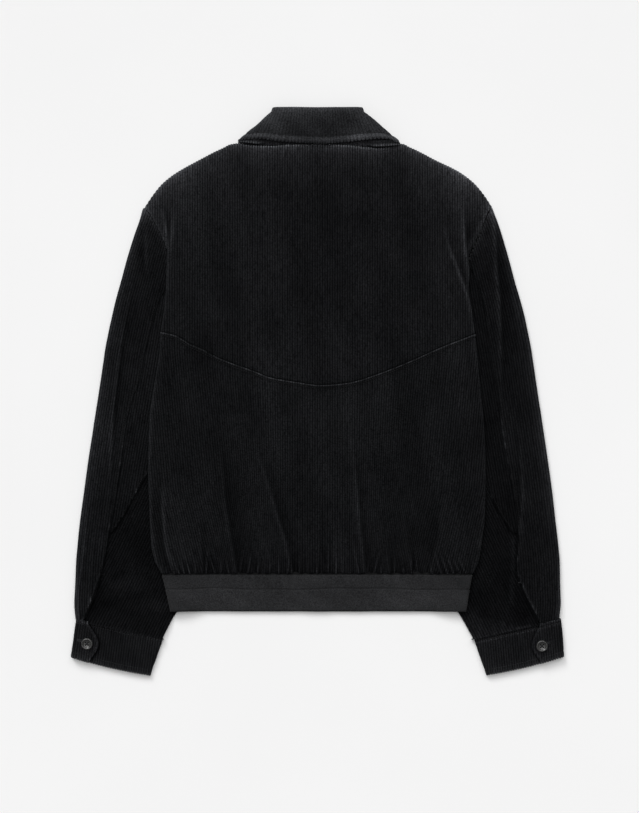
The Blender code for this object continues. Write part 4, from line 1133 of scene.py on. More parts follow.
def slit_share(side, y):
    """0 above the slit and 1 along it."""
    return smooth((SLIT_TOP[side] - y) / 8.0)


def seam_bow(side, y):
    """How far the right sleeve's seam bows inwards above its slit."""
    return 3.4 * math.exp(-(((y + 246.0) / 20.0) ** 2)) if side == RIGHT else 0.0


def sleeve_seam_relief(side, d, y, lifted, spacing=20.0):
    """Puckers and a raised edge beside a stitched seam; d is the distance from the seam."""
    edge = bell(d, 0.9)
    drawn_in = pucker(y, 1.0 + side, spacing)
    bump = clamp(drawn_in) ** 1.5
    drawn = bell(d, 6.5) * 0.45 * drawn_in
    height = drawn - 0.9 * edge
    # painted shade in the seam
    painted_light_and_tone = -0.7 * edge
    if lifted:
        crest = bell(d - 1.5, 1.5)
        height += (0.1 + 0.85 * bump) * crest - 0.5 * bell(d - 3.8, 1.0)
        # painted highlight on the puckers' crests, painted shade at the stitches
        painted_light_and_tone += 2.1 * bump * bell(d - 1.4, 1.2)
        painted_light_and_tone -= 0.3 * bell(d - 3.8, 1.4)
    return height, painted_light_and_tone


def seam_strength(side, y):
    """How strongly the painted light and shade of the sleeve's long seams show: most on the left, below
    the elbow.
    """
    low = clamp((15.0 - y) / 60.0)
    return 0.12 + (0.88 if side == LEFT else 0.55) * low


# How far outwards each sleeve's outer fold lies from its even line: y and the distance
SWELL = {
    LEFT: (
        (281, 1.0), (262, 1.2), (240, -0.3), (90, 0.0), (45, -1.3), (-15, -1.1), (-45, -0.6),
        (-180, -0.7), (-235, -1.4), (-295, -1.3), (-318, 0.3),
    ),
    RIGHT: (
        (281, 1.8), (262, 1.0), (235, 1.8), (180, 0.7), (150, 0.6), (98, 1.8), (43, 0.9), (-30, 1.5),
        (-100, 1.0), (-155, 0.9), (-180, 0.35), (-240, 0.0), (-295, -1.1), (-318, 0.0),
    ),
}


def swell(side, d, y):
    """How far outwards the sleeve's outer fold lies from its even line, less and less inwards."""
    places, amounts = zip(*reversed(SWELL[side]))
    inward = max(SLEEVE["outer"](min(y, SLEEVE_TOP)) - d, 0.0)
    return float(np.interp(y, places, amounts)) * math.exp(-((inward / 9.0) ** 2))


def make_sleeve_outer(side):
    """Rows of the outer strip, from under the outer fold to the seam; s is 0 at the fold."""
    rows = []
    reach = [SLEEVE_TOP + 3.4, SLEEVE_TOP + 1.7]
    y = SLEEVE_TOP
    while y > CUFF_SEAM + 6.0:
        reach.append(y)
        y -= 2.5 if abs(y - GUSSET_TOP[side]) < 6.0 else ROW
    reach += [CUFF_SEAM + 5.0, CUFF_SEAM + 3.0, CUFF_SEAM + 1.6, CUFF_SEAM + 0.8, CUFF_SEAM + 0.15]
    for y in reach:
        tuck = max(y - SLEEVE_TOP, 0.0)
        outer = SLEEVE["outer"](min(y, SLEEVE_TOP)) - 0.9 * tuck
        place = sleeve_place(outer, y)
        radius = sleeve_height(side, outer, place) / 2.0 - 0.15 * tuck
        centre = outer - radius
        quarter = radius * math.pi / 2.0
        slit = 0.6 * slit_share(side, y)
        end = quarter + centre - outer_seam(side, y) - 0.4 * slit
        start = -quarter - (centre - FRONT_ARMHOLE(y) if y > ARMPIT else 70.0)
        row = []
        edge = BODY_EDGE[side](max(place, BAND_BOTTOM)) if y < 186.0 else 0.0
        shown = min(end, quarter + centre - edge + 8.0)
        for s, ribbed in positions(start, -quarter - 1.0, shown, end):
            if s > quarter:
                d = centre - (s - quarter)
                z = sleeve_height(side, d, sleeve_place(d, y))
            elif s > -quarter:
                angle = math.pi / 2.0 + s / radius
                d = centre + radius * math.sin(angle)
                z = radius * (1.0 - math.cos(angle))
            else:
                d = centre + s + quarter
                z = 0.0
            row.append((s, side * (d + swell(side, d, y)), sleeve_place(d, y), z, ribbed))
        rows.append(row)

    def relief(s, x, y, ribbed):
        d = np.abs(x)
        place = row_y(d, y)
        away = np.where(s > 0.0, d - at_rows(lambda row: outer_seam(side, row), place), FAR)
        fuzz = 0.05 * noise(s * 2.1, y * 0.9, 5.0 + side)
        waves = 0.3 * noise(x * 0.06, y * 0.03, 2.0 + side)
        low = positive(place - CUFF_SEAM)
        curl = bell(low, 1.6)
        drawn = np.exp(-low / 11.0) * pucker(s, 3.0 + side, 12.0)
        height = (RIB * rib(s) + fuzz + waves + 0.5 * drawn) * ribbed - 0.5 * curl
        seam, painted_light_and_tone = sleeve_seam_relief(side, away, y, True)
        painted_light_and_tone *= seam_strength(side, y)
        # the ragged edge of the slit, with a painted highlight on it
        open_edge = clamp((SLIT_TOP[side] + 8.0 - place) / 10.0) * (s > 0.0)
        ragged = bell(away - 1.8, 1.8) * open_edge
        painted_light_and_tone += ragged * ((0.5 if side == LEFT else 1.0) + 0.9 * pucker(y, 3.0, 8.5))
        height += 0.5 * ragged * (1.0 + pucker(y, 3.0, 8.5))
        # folds with their painted light and shade, and painted highlights on the puckers above the cuff
        # and along the outer fold, the armhole and the shoulder's corner
        folds, painted_shading = pleats(SLEEVE_CREASES[side], x, y)
        inward = positive(at_rows(SLEEVE["outer"], place) - d)
        upper = (s > 0.0) * clamp(inward / 6.0)
        height += seam + folds * upper * ribbed
        painted_light_and_tone += painted_shading * (s > 0.0) + 0.25 * drawn + 0.1 * curl
        armhole = fading(away, 2.5) * clamp((y - GUSSET_TOP[side]) / 20.0)
        corner = bell(np.hypot(d - 246.0, y - 252.0), 17.0)
        painted_light_and_tone += 0.9 * armhole + (0.8 if side == LEFT else 0.3) * corner
        height += (0.7 if side == LEFT else 1.7) * armhole
        lower = clamp((LOW_PART - y) / 60.0)
        painted_light_and_tone += (1.5 - 0.5 * lower) * np.exp(-inward / (7.6 - 3.0 * lower))
        tone = -0.16 if side == LEFT else -0.33
        tone = tone + 0.28 * clamp((-15.0 - y) / 50.0) * (1.0 - 0.55 * lower)
        return height, painted_light_and_tone + tone + 0.15 * noise(x * 0.05, y * 0.02, 8.0)

    return rows, relief, side == RIGHT


def at_rows(seam, place):
    """A seam's distance at each row's place, read from a table of every millimetre."""
    ends = np.arange(math.floor(place.min()) - 1.0, math.ceil(place.max()) + 2.0)
    return np.interp(place, ends, np.array([seam(float(y)) for y in ends]))


def row_y(d, y):
    """The row that a point of the sleeve belongs to: the inverse of sleeve_place."""
    row = np.array(y, float)
    for _ in range(5):
        share = clamp((TILT_TOP - row) / (TILT_TOP - CUFF_SEAM))
        tilt = CUFF_TILT * share * share * (3.0 - 2.0 * share)
        row = y - tilt * (d - CUFF_SEAM_MIDDLE)
    return row


SLANT = 0.46  # how far the inner sleeve's ribs go outwards for each millimetre down
INNER_TOP = -92.0  # where the inner part's ribs start to show
INNER_ROW = 7.0  # distance between its points along a rib


def inner_seam(side, y):
    """Where the inner part of a sleeve ends on its upper side."""
    if y > GUSSET_TIP[side] + 1.0:
        return WEDGE_SEAM[side](y) - SEAM / 2.0
    return BACK_SEAM[side](y) - SEAM / 2.0 - 1.4 * slit_share(side, y) - seam_bow(side, y)


def fold_radius(side, d, y):
    """Half the sleeve's height at a point of the row y."""
    return sleeve_height(side, d, sleeve_place(d, y)) / 2.0


def inner_point(side, across, y):
    """A point of the inner part at the unrolled distance across: on top, round the fold, under."""
    inner = SLEEVE["inner"](y)
    radius = fold_radius(side, inner, y)
    centre = inner + radius
    if across >= centre:
        place = sleeve_place(across, y)
        return side * across, place, sleeve_height(side, across, place)
    angle = (centre - across) / radius
    if angle < math.pi:
        d = centre - radius * math.sin(angle)
        return side * d, sleeve_place(d, y), radius * (1.0 + math.cos(angle))
    d = centre + (centre - across - math.pi * radius)
    return side * d, sleeve_place(d, y), 0.0


def inner_limit(side, y):
    """The unrolled distance where the inner part ends, under the sleeve."""
    inner = SLEEVE["inner"](y)
    radius = fold_radius(side, inner, y)
    return inner + radius - math.pi * radius - 16.0


def make_sleeve_inner(side):
    """Lines along the slanted ribs below the wedge seam; s counts across them."""
    lean = math.atan(SLANT)
    cosine, sine = math.cos(lean), math.sin(lean)
    low = CUFF_SEAM + 0.15
    rows = []
    columns_y = [INNER_TOP - k for k in range(int(INNER_TOP - low) + 1)] + [low]
    limits = [(inner_limit(side, y), inner_seam(side, y)) for y in columns_y]
    # s = d cos + y sin is the same all along a rib
    first = min(a * cosine + y * sine for (a, _), y in zip(limits, columns_y))
    last = max(b * cosine + y * sine for (_, b), y in zip(limits, columns_y))
    for j in range(math.ceil(first / STEP), math.floor(last / STEP) + 1):
        s = j * STEP
        across = [(s - y * sine) / cosine for y in columns_y]
        runs = [k for k, (a, b) in enumerate(limits) if a <= across[k] <= b]
        if len(runs) < 2:
            continue
        top, bottom = columns_y[runs[0]], columns_y[runs[-1]]
        if runs[0] > 0:
            top = cross(side, s, top + 1.0, top, cosine, sine)
        if runs[-1] < len(columns_y) - 1 and columns_y[runs[-1]] > low + 1.2:
            bottom = cross(side, s, bottom - 1.0, bottom, cosine, sine)
        if top - bottom < 1.5:
            continue
        line = [top]
        k = math.ceil(-top / INNER_ROW)
        while -INNER_ROW * k > bottom + 0.6:
            if -INNER_ROW * k < top - 0.6:
                line.append(-INNER_ROW * k)
            k += 1
        for extra in (low + 3.0, low + 1.5, low + 0.7):
            if bottom < low + 0.5 and line[-1] > extra + 0.4:
                line.append(extra)
        line.append(bottom)
        rows.append([(-y, *inner_point(side, (s - y * sine) / cosine, y), 1.0, s) for y in line])
    return rows


# The rim of the slack that gathers above the right cuff, and the ridge that runs down to it
POOL = ((205, -303), (213, -308), (233, -318), (260, -324.5), (279, -331), (297, -327))
RIDGE = ((274, -205), (273.5, -236), (273, -262), (271, -296))

# Slack cloth above the cuffs: each swell's middle, its half width and height, and its rise
SLACK = {
    LEFT: (
        ((279, -271), 24, 9, 0.55),
        ((296, -297), 17, 9, -0.55),
        ((222, -299), 17, 10, 0.6),
        ((250, -286), 16, 7, -0.3),
    ),
    RIGHT: (
        ((285, -310), 12, 15, -0.35),
        ((232, -285), 20, 12, -0.15),
    ),
}


def line_distance(x, y, line):
    """The distance of each point from a line of straight runs."""
    nearest = np.full_like(x, 1e6)
    for (ax, ay), (bx, by) in zip(line, line[1:]):
        along = ((x - ax) * (bx - ax) + (y - ay) * (by - ay)) / ((bx - ax) ** 2 + (by - ay) ** 2)
        along = clamp(along)
        nearest = np.minimum(nearest, np.hypot(x - ax - along * (bx - ax), y - ay - along * (by - ay)))
    return nearest


def cross(side, s, outside, inside, cosine, sine):
    """The y where the rib s leaves the inner part, between a y outside it and one inside."""
    for _ in range(14):
        y = (outside + inside) / 2.0
        d = (s - y * sine) / cosine
        if inner_limit(side, y) <= d <= inner_seam(side, y):
            inside = y
        else:
            outside = y
    return inside


def make_sleeve(side):
    """A sleeve in four parts round the arm, and the wedge between its two upper seams."""
    name = NAME[side]
    parts = [make_sleeve_outer(side)]

    # The slanted part is made line by line, and its count across the ribs comes last.
    lines = make_sleeve_inner(side)
    weave_s = np.array([entry[5] for line in lines for entry in line])

    def inner_relief(along, x, y, ribbed):
        s = weave_s
        d = np.abs(x)
        place = row_y(d, y)
        away = at_rows(lambda row: inner_seam(side, row), place) - d
        low = positive(place - CUFF_SEAM)
        curl = bell(low, 1.6)
        drawn = np.exp(-low / 12.0) * pucker(d, 2.0 + side, 11.0)
        waves = 0.35 * noise(x * 0.07, y * 0.05, 4.0 + side) + 0.05 * noise(s * 2.0, y, 1.0)
        seam, painted_light_and_tone = sleeve_seam_relief(side, away, y, False)
        slit = fading(away, 7.0) * clamp((SLIT_TOP[side] - place) / 14.0)
        edge = fading(low - 2.0, 10.0)
        # painted shade beside the slit and painted light on the puckers; lighter near the cuff, darker all
        # over
        painted_light_and_tone += 0.3 * drawn + 0.1 * curl - (0.4 if side == RIGHT else 1.0) * slit - 0.64 + 0.4 * edge
        height = RIB * rib(s) - 0.5 * curl + 0.55 * drawn + waves + seam - 0.5 * slit
        # slack cloth above the cuff, painted lighter where it rises and darker where it sinks
        for middle, across, tall, rise in SLACK[side]:
            swell = np.exp(-(((d - middle[0]) / across) ** 2) - ((y - middle[1]) / tall) ** 2)
            height += 1.2 * rise * swell
            painted_light_and_tone += rise * swell
        # painted highlights on the rim of the slack and on the ridge
        if side == RIGHT:
            rim = np.interp(d, *zip(*POOL)) - y
            ends = clamp((d - 205.0) / 14.0) * clamp((304.0 - d) / 8.0)
            crest = bell(rim - 0.6, 1.4) * ends * np.clip((d - 232.0) / 46.0, 0.15, 1.0)
            below = smooth_step(rim / 3.0) * ends
            height += 0.5 * crest + 0.8 * below
            painted_light_and_tone += 0.9 * crest + 0.4 * below
            away = line_distance(x, y, RIDGE)
            crest = bell(away, 2.4)
            height += 0.8 * crest
            painted_light_and_tone += 0.75 * crest
        return height, painted_light_and_tone + 0.2 * noise(x * 0.05, y * 0.03, 3.0)

    plain = [[entry[:5] for entry in line] for line in lines]
    parts.append((plain, inner_relief, side == LEFT, weave_s))

    # The part that the body covers, above the wedge seam's end
    hidden = []
    for y in (ARMPIT - 1.0, -14.0, -38.0, -62.0, -80.0, INNER_TOP):
        start, end = inner_limit(side, y), inner_seam(side, y)
        row = [mix(end, start, k / 12.0) for k in range(13)]
        hidden.append([(-across, *inner_point(side, across, y), 0.0) for across in row])
    parts.append((hidden, plain_relief, side == RIGHT))

    # The underside between the two parts, flat on the surface
    under = []
    for y in (ARMPIT - 2.0, -30.0, -70.0, -110.0, -150.0, -190.0, -230.0, -270.0, -305.0, CUFF_SEAM + 4.0):
        inner, outer = SLEEVE["inner"](y), SLEEVE["outer"](y)
        start = inner + fold_radius(side, inner, y) + 12.0
        end = outer - fold_radius(side, outer, y) - 66.0
        row = [mix(start, max(end, start + 4.0), k / 8.0) for k in range(9)]
        under.append([(d, side * d, sleeve_place(d, y), 0.4, 0.0) for d in row])
    parts.append((under, plain_relief, side == RIGHT))
    made = skin(f"sleeve_cloth_{name}", parts, CORD, [f"sleeve_{name}"])

    # The wedge
    rows = []
    tip = GUSSET_TIP[side]
    places = [*np.arange(GUSSET_TOP[side], tip + 3.0, -ROW).tolist(), tip + 3.0, tip + 1.2]
    for y in places:
        inner = (SLEEVE_EDGE if y >= ARMPIT else WEDGE_SEAM)[side](y) + SEAM / 2.0
        outer = BACK_SEAM[side](y) - SEAM / 2.0
        lean = 0.17 * y
        shown = max(BODY_EDGE[side](y) - 8.0, inner)
        row = []
        for s, ribbed in positions(inner + lean, shown + lean, outer + lean, outer + lean):
            d = s - lean
            place = sleeve_place(d, y)
            row.append((s, side * d, place, sleeve_height(side, d, place), ribbed))
        rows.append(row)

    def relief(s, x, y, ribbed):
        d = np.abs(x)
        place = row_y(d, y)
        outer_away = at_rows(BACK_SEAM[side], place) - d
        wedge_away = d - at_rows(WEDGE_SEAM[side], place)
        wedge_away = np.where(place < ARMPIT, wedge_away, FAR)
        waves = 0.3 * noise(x * 0.06, y * 0.04, 7.0 + side)
        # the seams, with their painted light and shade
        outer, painted_shading = sleeve_seam_relief(side, outer_away, y, False)
        wedge, painted_light_and_tone = sleeve_seam_relief(side, wedge_away, y, True, 13.0)
        painted_light_and_tone *= seam_strength(side, y)
        height = (RIB * rib(s) + waves) * ribbed + outer + wedge
        painted_light_and_tone += painted_shading - (0.6 if side == RIGHT else 0.05 + 0.3 * clamp((-20.0 - y) / 50.0))
        return height, painted_light_and_tone + 0.15 * noise(x * 0.05, y * 0.03, 1.0)

    made = skin(f"gusset_cloth_{name}", [(rows, relief, side == LEFT)], CORD, [f"gusset_{name}"])


# --- Cuffs ---

CUFF_HEIGHT = 50.0  # from the cuff's seam to its lower edge
FOLD_ROW, SEAM_ROW = 6.2, 3.2  # the stitches' distances from the lower edge and from the seam


def make_cuff(side):
    """A cuff: its band all round, and the pointed tab that lies over its upper side."""
    name = NAME[side]
    rows = []
    downs = [-0.03, 0.0, 0.015, 0.03, 0.05, 0.075, 0.09, 0.105, 0.12, 0.15, 0.2, 0.28, 0.36, 0.44]
    downs += [0.52, 0.6, 0.68, 0.76, 0.82, 0.86, 0.9, 0.94, 0.97, 0.985, 1.0]
    outer, inner = CUFF_TAB_TOP / 2.0, CUFF_BAND_TOP / 2.0
    usual = cuff_width(side, 0.5)
    beyond_tab = []
    for down in downs:
        width = cuff_width(side, down)
        tab = CUFFS[side]["tab"](down)
        # s is 0 at the outer fold's middle, over the tab positive, under and round negative
        over = outer * math.pi / 2.0
        end = over + tab - outer
        under = width - inner - outer
        bottom = -over - (2.0 * usual - width - inner - outer)
        top = bottom - inner * math.pi
        start = top - (width - inner - 9.0)
        row = []
        for s, ribbed in positions(start, start, end, end):
            if s > over:
                along, z = outer + s - over, CUFF_TAB_TOP
            elif s > -over:
                angle = math.pi / 2.0 + s / outer
                along, z = outer - outer * math.sin(angle), outer * (1.0 - math.cos(angle))
            elif s > bottom:
                along, z = outer + (-over - s) * under / (-over - bottom), 0.0
            elif s > top:
                angle = (bottom - s) / inner
                along = width - inner + inner * math.sin(angle)
                z = inner * (1.0 - math.cos(angle))
            else:
                along, z = width - inner - (top - s), CUFF_BAND_TOP
            if -over > s > bottom:
                ribbed = 0.0
            d, y = cuff_point(side, along / width, down)
            if z > 1.0:
                y -= SCALLOP * rib(s) * smooth((down - 0.96) / 0.04)
            if down < 0.0:
                z = max(z - 1.0, 0.3)
            beyond_tab.append(along - tab if s < top else end - s if s > over else FAR)
            row.append((s, side * d, y, z, ribbed))
        rows.append((down, row))

    flat_downs = np.array([down for down, row in rows for _ in row])

    def relief(s, x, y, ribbed):
        from_low = (1.0 - flat_downs) * CUFF_HEIGHT
        from_top = flat_downs * CUFF_HEIGHT
        low_groove = bell(from_low - FOLD_ROW, 0.9)
        top_groove = bell(from_top - SEAM_ROW, 0.9)
        edge = bell(from_low, 0.8) + bell(from_top, 0.8)
        near = bell(from_low - 6.0, 5.0)
        height = (RIB * rib(s) + 0.25 * noise(x * 0.1, y * 0.1, 9.0 + side)) * ribbed
        height += 0.22 * near * pucker(s, 1.0, 9.0) - 0.6 * low_groove - 0.45 * top_groove - 0.4 * edge
        second = bell(from_low - 8.0, 0.8)
        # painted highlight towards the lower fold and on the ribs' ends there, painted shade in the
        # stitches' grooves, and painted light on the tuck above the seam
        painted_light_and_tone = 0.55 * bell(from_low, 5.5) - 0.45 * low_groove - 0.2 * top_groove
        painted_light_and_tone += 0.4 * second + np.where(flat_downs < 0.0, 1.3, 0.0)
        painted_light_and_tone += 0.9 * bell(from_low, 1.6) * (rib(s) - 0.4) * ribbed
        # a painted highlight along the seam line below the cuff's top, and on the top edge
        line = 1.2 if side == LEFT else 5.0
        painted_light_and_tone += 1.3 * bell(from_top - line, 1.0) * (0.6 + 0.4 * pucker(s, 4.0, 7.0))
        painted_light_and_tone += 0.5 * bell(from_top, 1.3)
        # the tab's painted highlight on its edge, and its painted shadow on the band
        over = s > CUFF_TAB_TOP * math.pi / 4.0
        beyond = positive(np.array(beyond_tab))
        tab_edge = bell(beyond - 1.0, 1.5)
        shown = 1.0 if side == LEFT else 0.45
        painted_light_and_tone += np.where(over, 0.7 * tab_edge + 0.15, -1.1 * bell(beyond, 3.0)) * shown
        height += np.where(over, 0.3 * tab_edge, -0.4 * bell(beyond, 3.0))
        return height, painted_light_and_tone + 0.12 + 0.2 * noise(x * 0.08, y * 0.07, 2.0)

    parts = [([row for _, row in rows], relief, side == RIGHT)]
    made = skin(f"cuff_cloth_{name}", parts, CORD, [f"cuff_{name}"], rim=2.6, lining=True)


# --- Collar ---


def fan(s):
    """How far a rib moves outwards from the collar's fold to its lower edge."""
    return math.copysign(38.0 * smooth((abs(s) - 8.0) / 106.0), s)


# The layer that shows under each end of the fall: distance out, its bright edge, its low edge
SECOND_EDGE = {
    LEFT: (
        (73.0, 345.4, 344.2), (80.0, 346.2, 344.8), (91.0, 347.8, 345.4), (104.0, 349.4, 346.0),
        (111.2, 349.8, 346.6),
    ),
    RIGHT: ((69.0, 343.1, 341.4), (86.0, 343.6, 340.4), (101.0, 344.4, 341.2), (115.8, 345.3, 343.6)),
}


def second_edge(side):
    """A strip of the under layer beyond the fall's lower edge, at one end of the collar."""
    radius = COLLAR_STACK / 2.0
    centre = COLLAR_SIDE[side](1.0) - radius
    bright = curve(*[(d, high) for d, high, _ in SECOND_EDGE[side]])
    lowest = curve(*[(d, low) for d, _, low in SECOND_EDGE[side]])
    first, last = SECOND_EDGE[side][0][0], SECOND_EDGE[side][-1][0]
    rows, downs = [], []
    for down in (-1.0, -0.65, -0.4, -0.2, 0.0, 0.3, 0.7, 1.0):
        row = []
        for d, ribbed in positions(first, first, last, last):
            tall = mix(6.0, 2.2, smooth((d - last + 14.0) / 14.0))
            sunk = 1.0 - smooth((d - first) / 12.0)
            z = collar_height(min(d / centre, 1.0)) - 2.0
            if d > centre:
                z = radius + math.sqrt(max(radius**2 - (d - centre) ** 2, 0.0)) - 2.0
            y = bright(d) - down * tall if down < 0.0 else mix(bright(d), lowest(d), down)
            y += 1.5 * sunk - 1.3 * rib(d) * (1.0 - abs(down)) ** 2
            fall = 0.4 * min(1.0 + down, 1.0) + 1.3 * max(down, 0.0)
            row.append((d, side * d, y, z - fall - 0.6 * sunk, ribbed))
            downs.append(down)
        rows.append(row)
    downs = np.array(downs)

    def relief(s, x, y, ribbed):
        edge = bell(downs, 0.3)
        shown = clamp((s - first) / 14.0)
        # painted highlight along the strip's low edge, painted shade above it under the fall
        lit = (1.75 * edge + 0.3) * shown * (0.35 + 0.75 * rib(s))
        painted_light_and_tone = lit - 0.9 * (1.0 - edge) * (1.0 - 0.5 * shown * (downs < 0.0))
        return 0.5 * RIB * rib(s), painted_light_and_tone

    return rows, relief, side == LEFT


FALL_HEIGHT = 45.0  # from the roll to the fall's lower edge
FALL_ROW = 9.0  # the stitches' distance from that edge


def make_collar():
    """The fall: from the roll at its top over the back, round its sides to the front."""
    rows = []
    downs = []
    steps = []
    for angle in (90.0, 72.0, 54.0, 36.0, 18.0, 0.0):
        turn = math.radians(angle)
        depth = COLLAR_ROLL * (1.0 - math.cos(turn)) * 0.95
        steps.append((0.0, depth, COLLAR_ROLL * (math.sin(turn) - 1.0)))
    for down in (0.1, 0.2, 0.3, 0.4, 0.5, 0.6, 0.68, 0.75, 0.785, 0.815, 0.85, 0.9, 0.94, 0.97, 0.99, 1.0):
        steps.append((down, 0.0, -COLLAR_ROLL * (1.0 - down)))
    radius_of = COLLAR_STACK / 2.0
    for down, depth, lift in steps:
        halves = {}
        for side in SIDES:
            centre = COLLAR_SIDE[side](down) - radius_of
            radius = radius_of - depth
            # the rib that reaches the fold in this row
            low, high = 0.0, centre
            for _ in range(30):
                middle = (low + high) / 2.0
                if middle + fan(middle) * down < centre:
                    low = middle
                else:
                    high = middle
            reach = low
            turned = reach + math.pi * radius
            end = turned + centre - 4.0
            half = []
            for s, ribbed in positions(0.0, 0.0, turned + 2.0, end):
                if s <= reach:
                    x = s + fan(s) * down
                    across = x / centre
                    y = mix(COLLAR_TOP, FALL_EDGE(side * across * COLLAR_HALF), down) + lift
                    z = collar_height(across) - depth
                else:
                    angle = min((s - reach) / radius, math.pi)
                    over = max(s - turned, 0.0)
                    x = centre + radius * math.sin(angle) - over
                    across = max(x / centre, 0.0) if over > 0.0 else 1.0
                    z = radius_of + radius * math.cos(angle)
                    drop = NECK_DROP * (1.0 - across * across)
                    steep = 2.0 * NECK_DROP * across / COLLAR_FOLD_HALF * (1.0 - down)
                    front = front_neck(across * COLLAR_HALF) + 4.5
                    front = mix(COLLAR_TOP - drop, front, down) + lift * math.hypot(1.0, steep)
                    back = mix(COLLAR_TOP, FALL_EDGE(side * COLLAR_HALF), down) + lift
                    y = mix(back, front, angle / math.pi)
                y -= 1.2 * rib(s) * smooth((down - 0.96) / 0.04)
                half.append((side * s, side * x, y, z, ribbed))
            halves[side] = half
        rows.append(halves[LEFT][:0:-1] + halves[RIGHT])
        downs += [down] * len(rows[-1])
    downs = np.array(downs)
    sides = [np.array([COLLAR_SIDE[side](down) for down in downs]) for side in SIDES]

    def relief(s, x, y, ribbed):
        from_low = (1.0 - downs) * FALL_HEIGHT
        from_top = downs * FALL_HEIGHT
        groove = bell(from_low - FALL_ROW, 1.0)
        strip = bell(from_low - 4.6, 3.6)
        edge = bell(from_low, 1.0)
        waves = 0.45 * noise(x * 0.05, y * 0.08, 2.0) * (1.0 - np.exp(-from_low / 12.0))
        drawn = bell(from_low - FALL_ROW, 4.0) * pucker(s, 2.0, 9.0)
        height = 0.4 * RIB * rib(s) * ribbed - 0.75 * groove + 0.5 * strip - 1.0 * edge
        height += waves + 0.25 * drawn
        # painted highlights at the low edge, the ends, the top of the roll and the slanted sides, and
        # painted shade in the stitches' groove and along the edge
        ends = 1.3 * clamp((np.abs(x) - 38.0) / 26.0)
        painted_light_and_tone = 0.88 * strip - 0.3 * groove + 0.45 * ends - 0.3 * edge
        painted_light_and_tone += 0.4 * bell(from_low, 1.5) * (rib(s) - 0.4) * ribbed
        middle = 1.0 - 0.55 * clamp((np.abs(x) - 32.0) / 22.0)
        painted_light_and_tone += 1.5 * middle * fading(COLLAR_TOP - y, 7.3)
        side = np.where(x > 0.0, sides[1], sides[0]) - np.abs(x)
        painted_light_and_tone += 0.5 * fading(side, 7.0) * np.clip(from_top / 8.0, 0.2, 1.0)
        return height, painted_light_and_tone - 0.05 + 0.3 * noise(x * 0.06, y * 0.09, 4.0)

    parts = [(rows, relief, False)] + [second_edge(side) for side in SIDES]
    made = skin("collar_cloth", parts, CORD_COLLAR, ["collar_fall"], rim=1.2, lining=True)


# --- Plain hidden pieces ---


def make_hidden():
    """The fronts, their waistband ends and the stand keep the solids' shape."""
    for node, finish, cut in (
        ("front_left", CORD_UNDER, (0.25, 0.60, 0.125)),
        ("front_right", CORD_UNDER, (0.25, 0.60, 0.125)),
        ("waistband_front_left", BAND_UNDER, (0.2, 0.053, 0.0105)),
        ("waistband_front_right", BAND_UNDER, (0.2, 0.053, 0.0105)),
        ("collar_stand", CORD_DEEP, (0.46, 0.05, 0.0215)),
        ("placket_left", PLACKET, (0.02, 0.068, 0.0013)),
        ("placket_right", PLACKET, (0.02, 0.06, 0.0011)),
    ):
        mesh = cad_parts[node].data.copy()
        mesh.materials.clear()
        mesh.materials.append(finish)
        if "weave" not in mesh.uv_layers:
            layer = mesh.uv_layers.new(name="weave")
            for loop, place in zip(mesh.loops, layer.data):
                point = mesh.vertices[loop.vertex_index].co
                place.uv = (point.x / (PITCH * MM), point.y)
        stem, _, end = node.rpartition("_")
        name = f"{stem}_cloth_{end}" if end in ("left", "right") else f"{node}_cloth"
        made = bpy.data.objects.new(name, mesh)
        bpy.context.scene.collection.objects.link(made)
        mesh.shade_smooth()
        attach(made, "jacket")
        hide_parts(node)


# --- Stitches ---


class Thread:
    """Rows of stitches, each a short spindle sunk at its ends."""

    def __init__(self):
        self.points, self.faces = [], []

    def stitch(self, start, end, normal, radius):
        start, end, normal = np.array(start), np.array(end), np.array(normal)
        along = end - start
        along /= max(np.linalg.norm(along), 1e-9)
        across = np.cross(along, normal)
        across /= max(np.linalg.norm(across), 1e-9)
        up = np.cross(across, along)
        first = len(self.points)
        sides = 5
        for share, wide, lift in ((0.0, 0.35, -0.5), (0.2, 0.9, 0.1), (0.8, 0.9, 0.1), (1.0, 0.35, -0.5)):
            middle = start + (end - start) * share + up * lift
            for k in range(sides):
                angle = math.tau * k / sides
                offset = across * math.cos(angle) + up * math.sin(angle) * 0.75
                self.points.append(middle + offset * radius * wide)
        for ring in range(3):
            for k in range(sides):
                a = first + ring * sides + k
                b = first + ring * sides + (k + 1) % sides
                self.faces.append((a, b, b + sides, a + sides))
        self.faces.append(tuple(first + k for k in reversed(range(sides))))
        self.faces.append(tuple(first + 3 * sides + k for k in range(sides)))

    def line(self, points, pitch=3.3, length=2.5, radius=0.42, wander=0.12, seed=0.0):
        """Stitches along a line of points, which lie on the cloth."""
        points = np.array(points, float)
        runs = np.linalg.norm(np.diff(points, axis=0), axis=1)
        along = np.concatenate([[0.0], np.cumsum(runs)])
        for k in range(int(along[-1] / pitch)):
            found = []
            for t in (k * pitch, k * pitch + length):
                spot = [np.interp(t, along, points[:, axis]) for axis in range(3)]
                spot[0] += wander * math.sin(12.9 * k + seed)
                spot[1] += wander * math.sin(7.7 * k + 2.0 * seed)
                found.append(spot)
            self.stitch(*found, (0.0, 0.0, 1.0), radius)

    def made(self, name, finish=None):
        return new_object(name, np.array(self.points), self.faces, finish or THREAD)


def sleeve_line(side, seam, off, top, low, lift=0.35):
    """Points on a sleeve from top to low, at the distance off from the seam."""
    line = []
    while top > low:
        d = seam(top) + off
        place = sleeve_place(d, top)
        line.append((side * d, place, sleeve_height(side, d, place) + lift))
        top -= 2.0
    return line


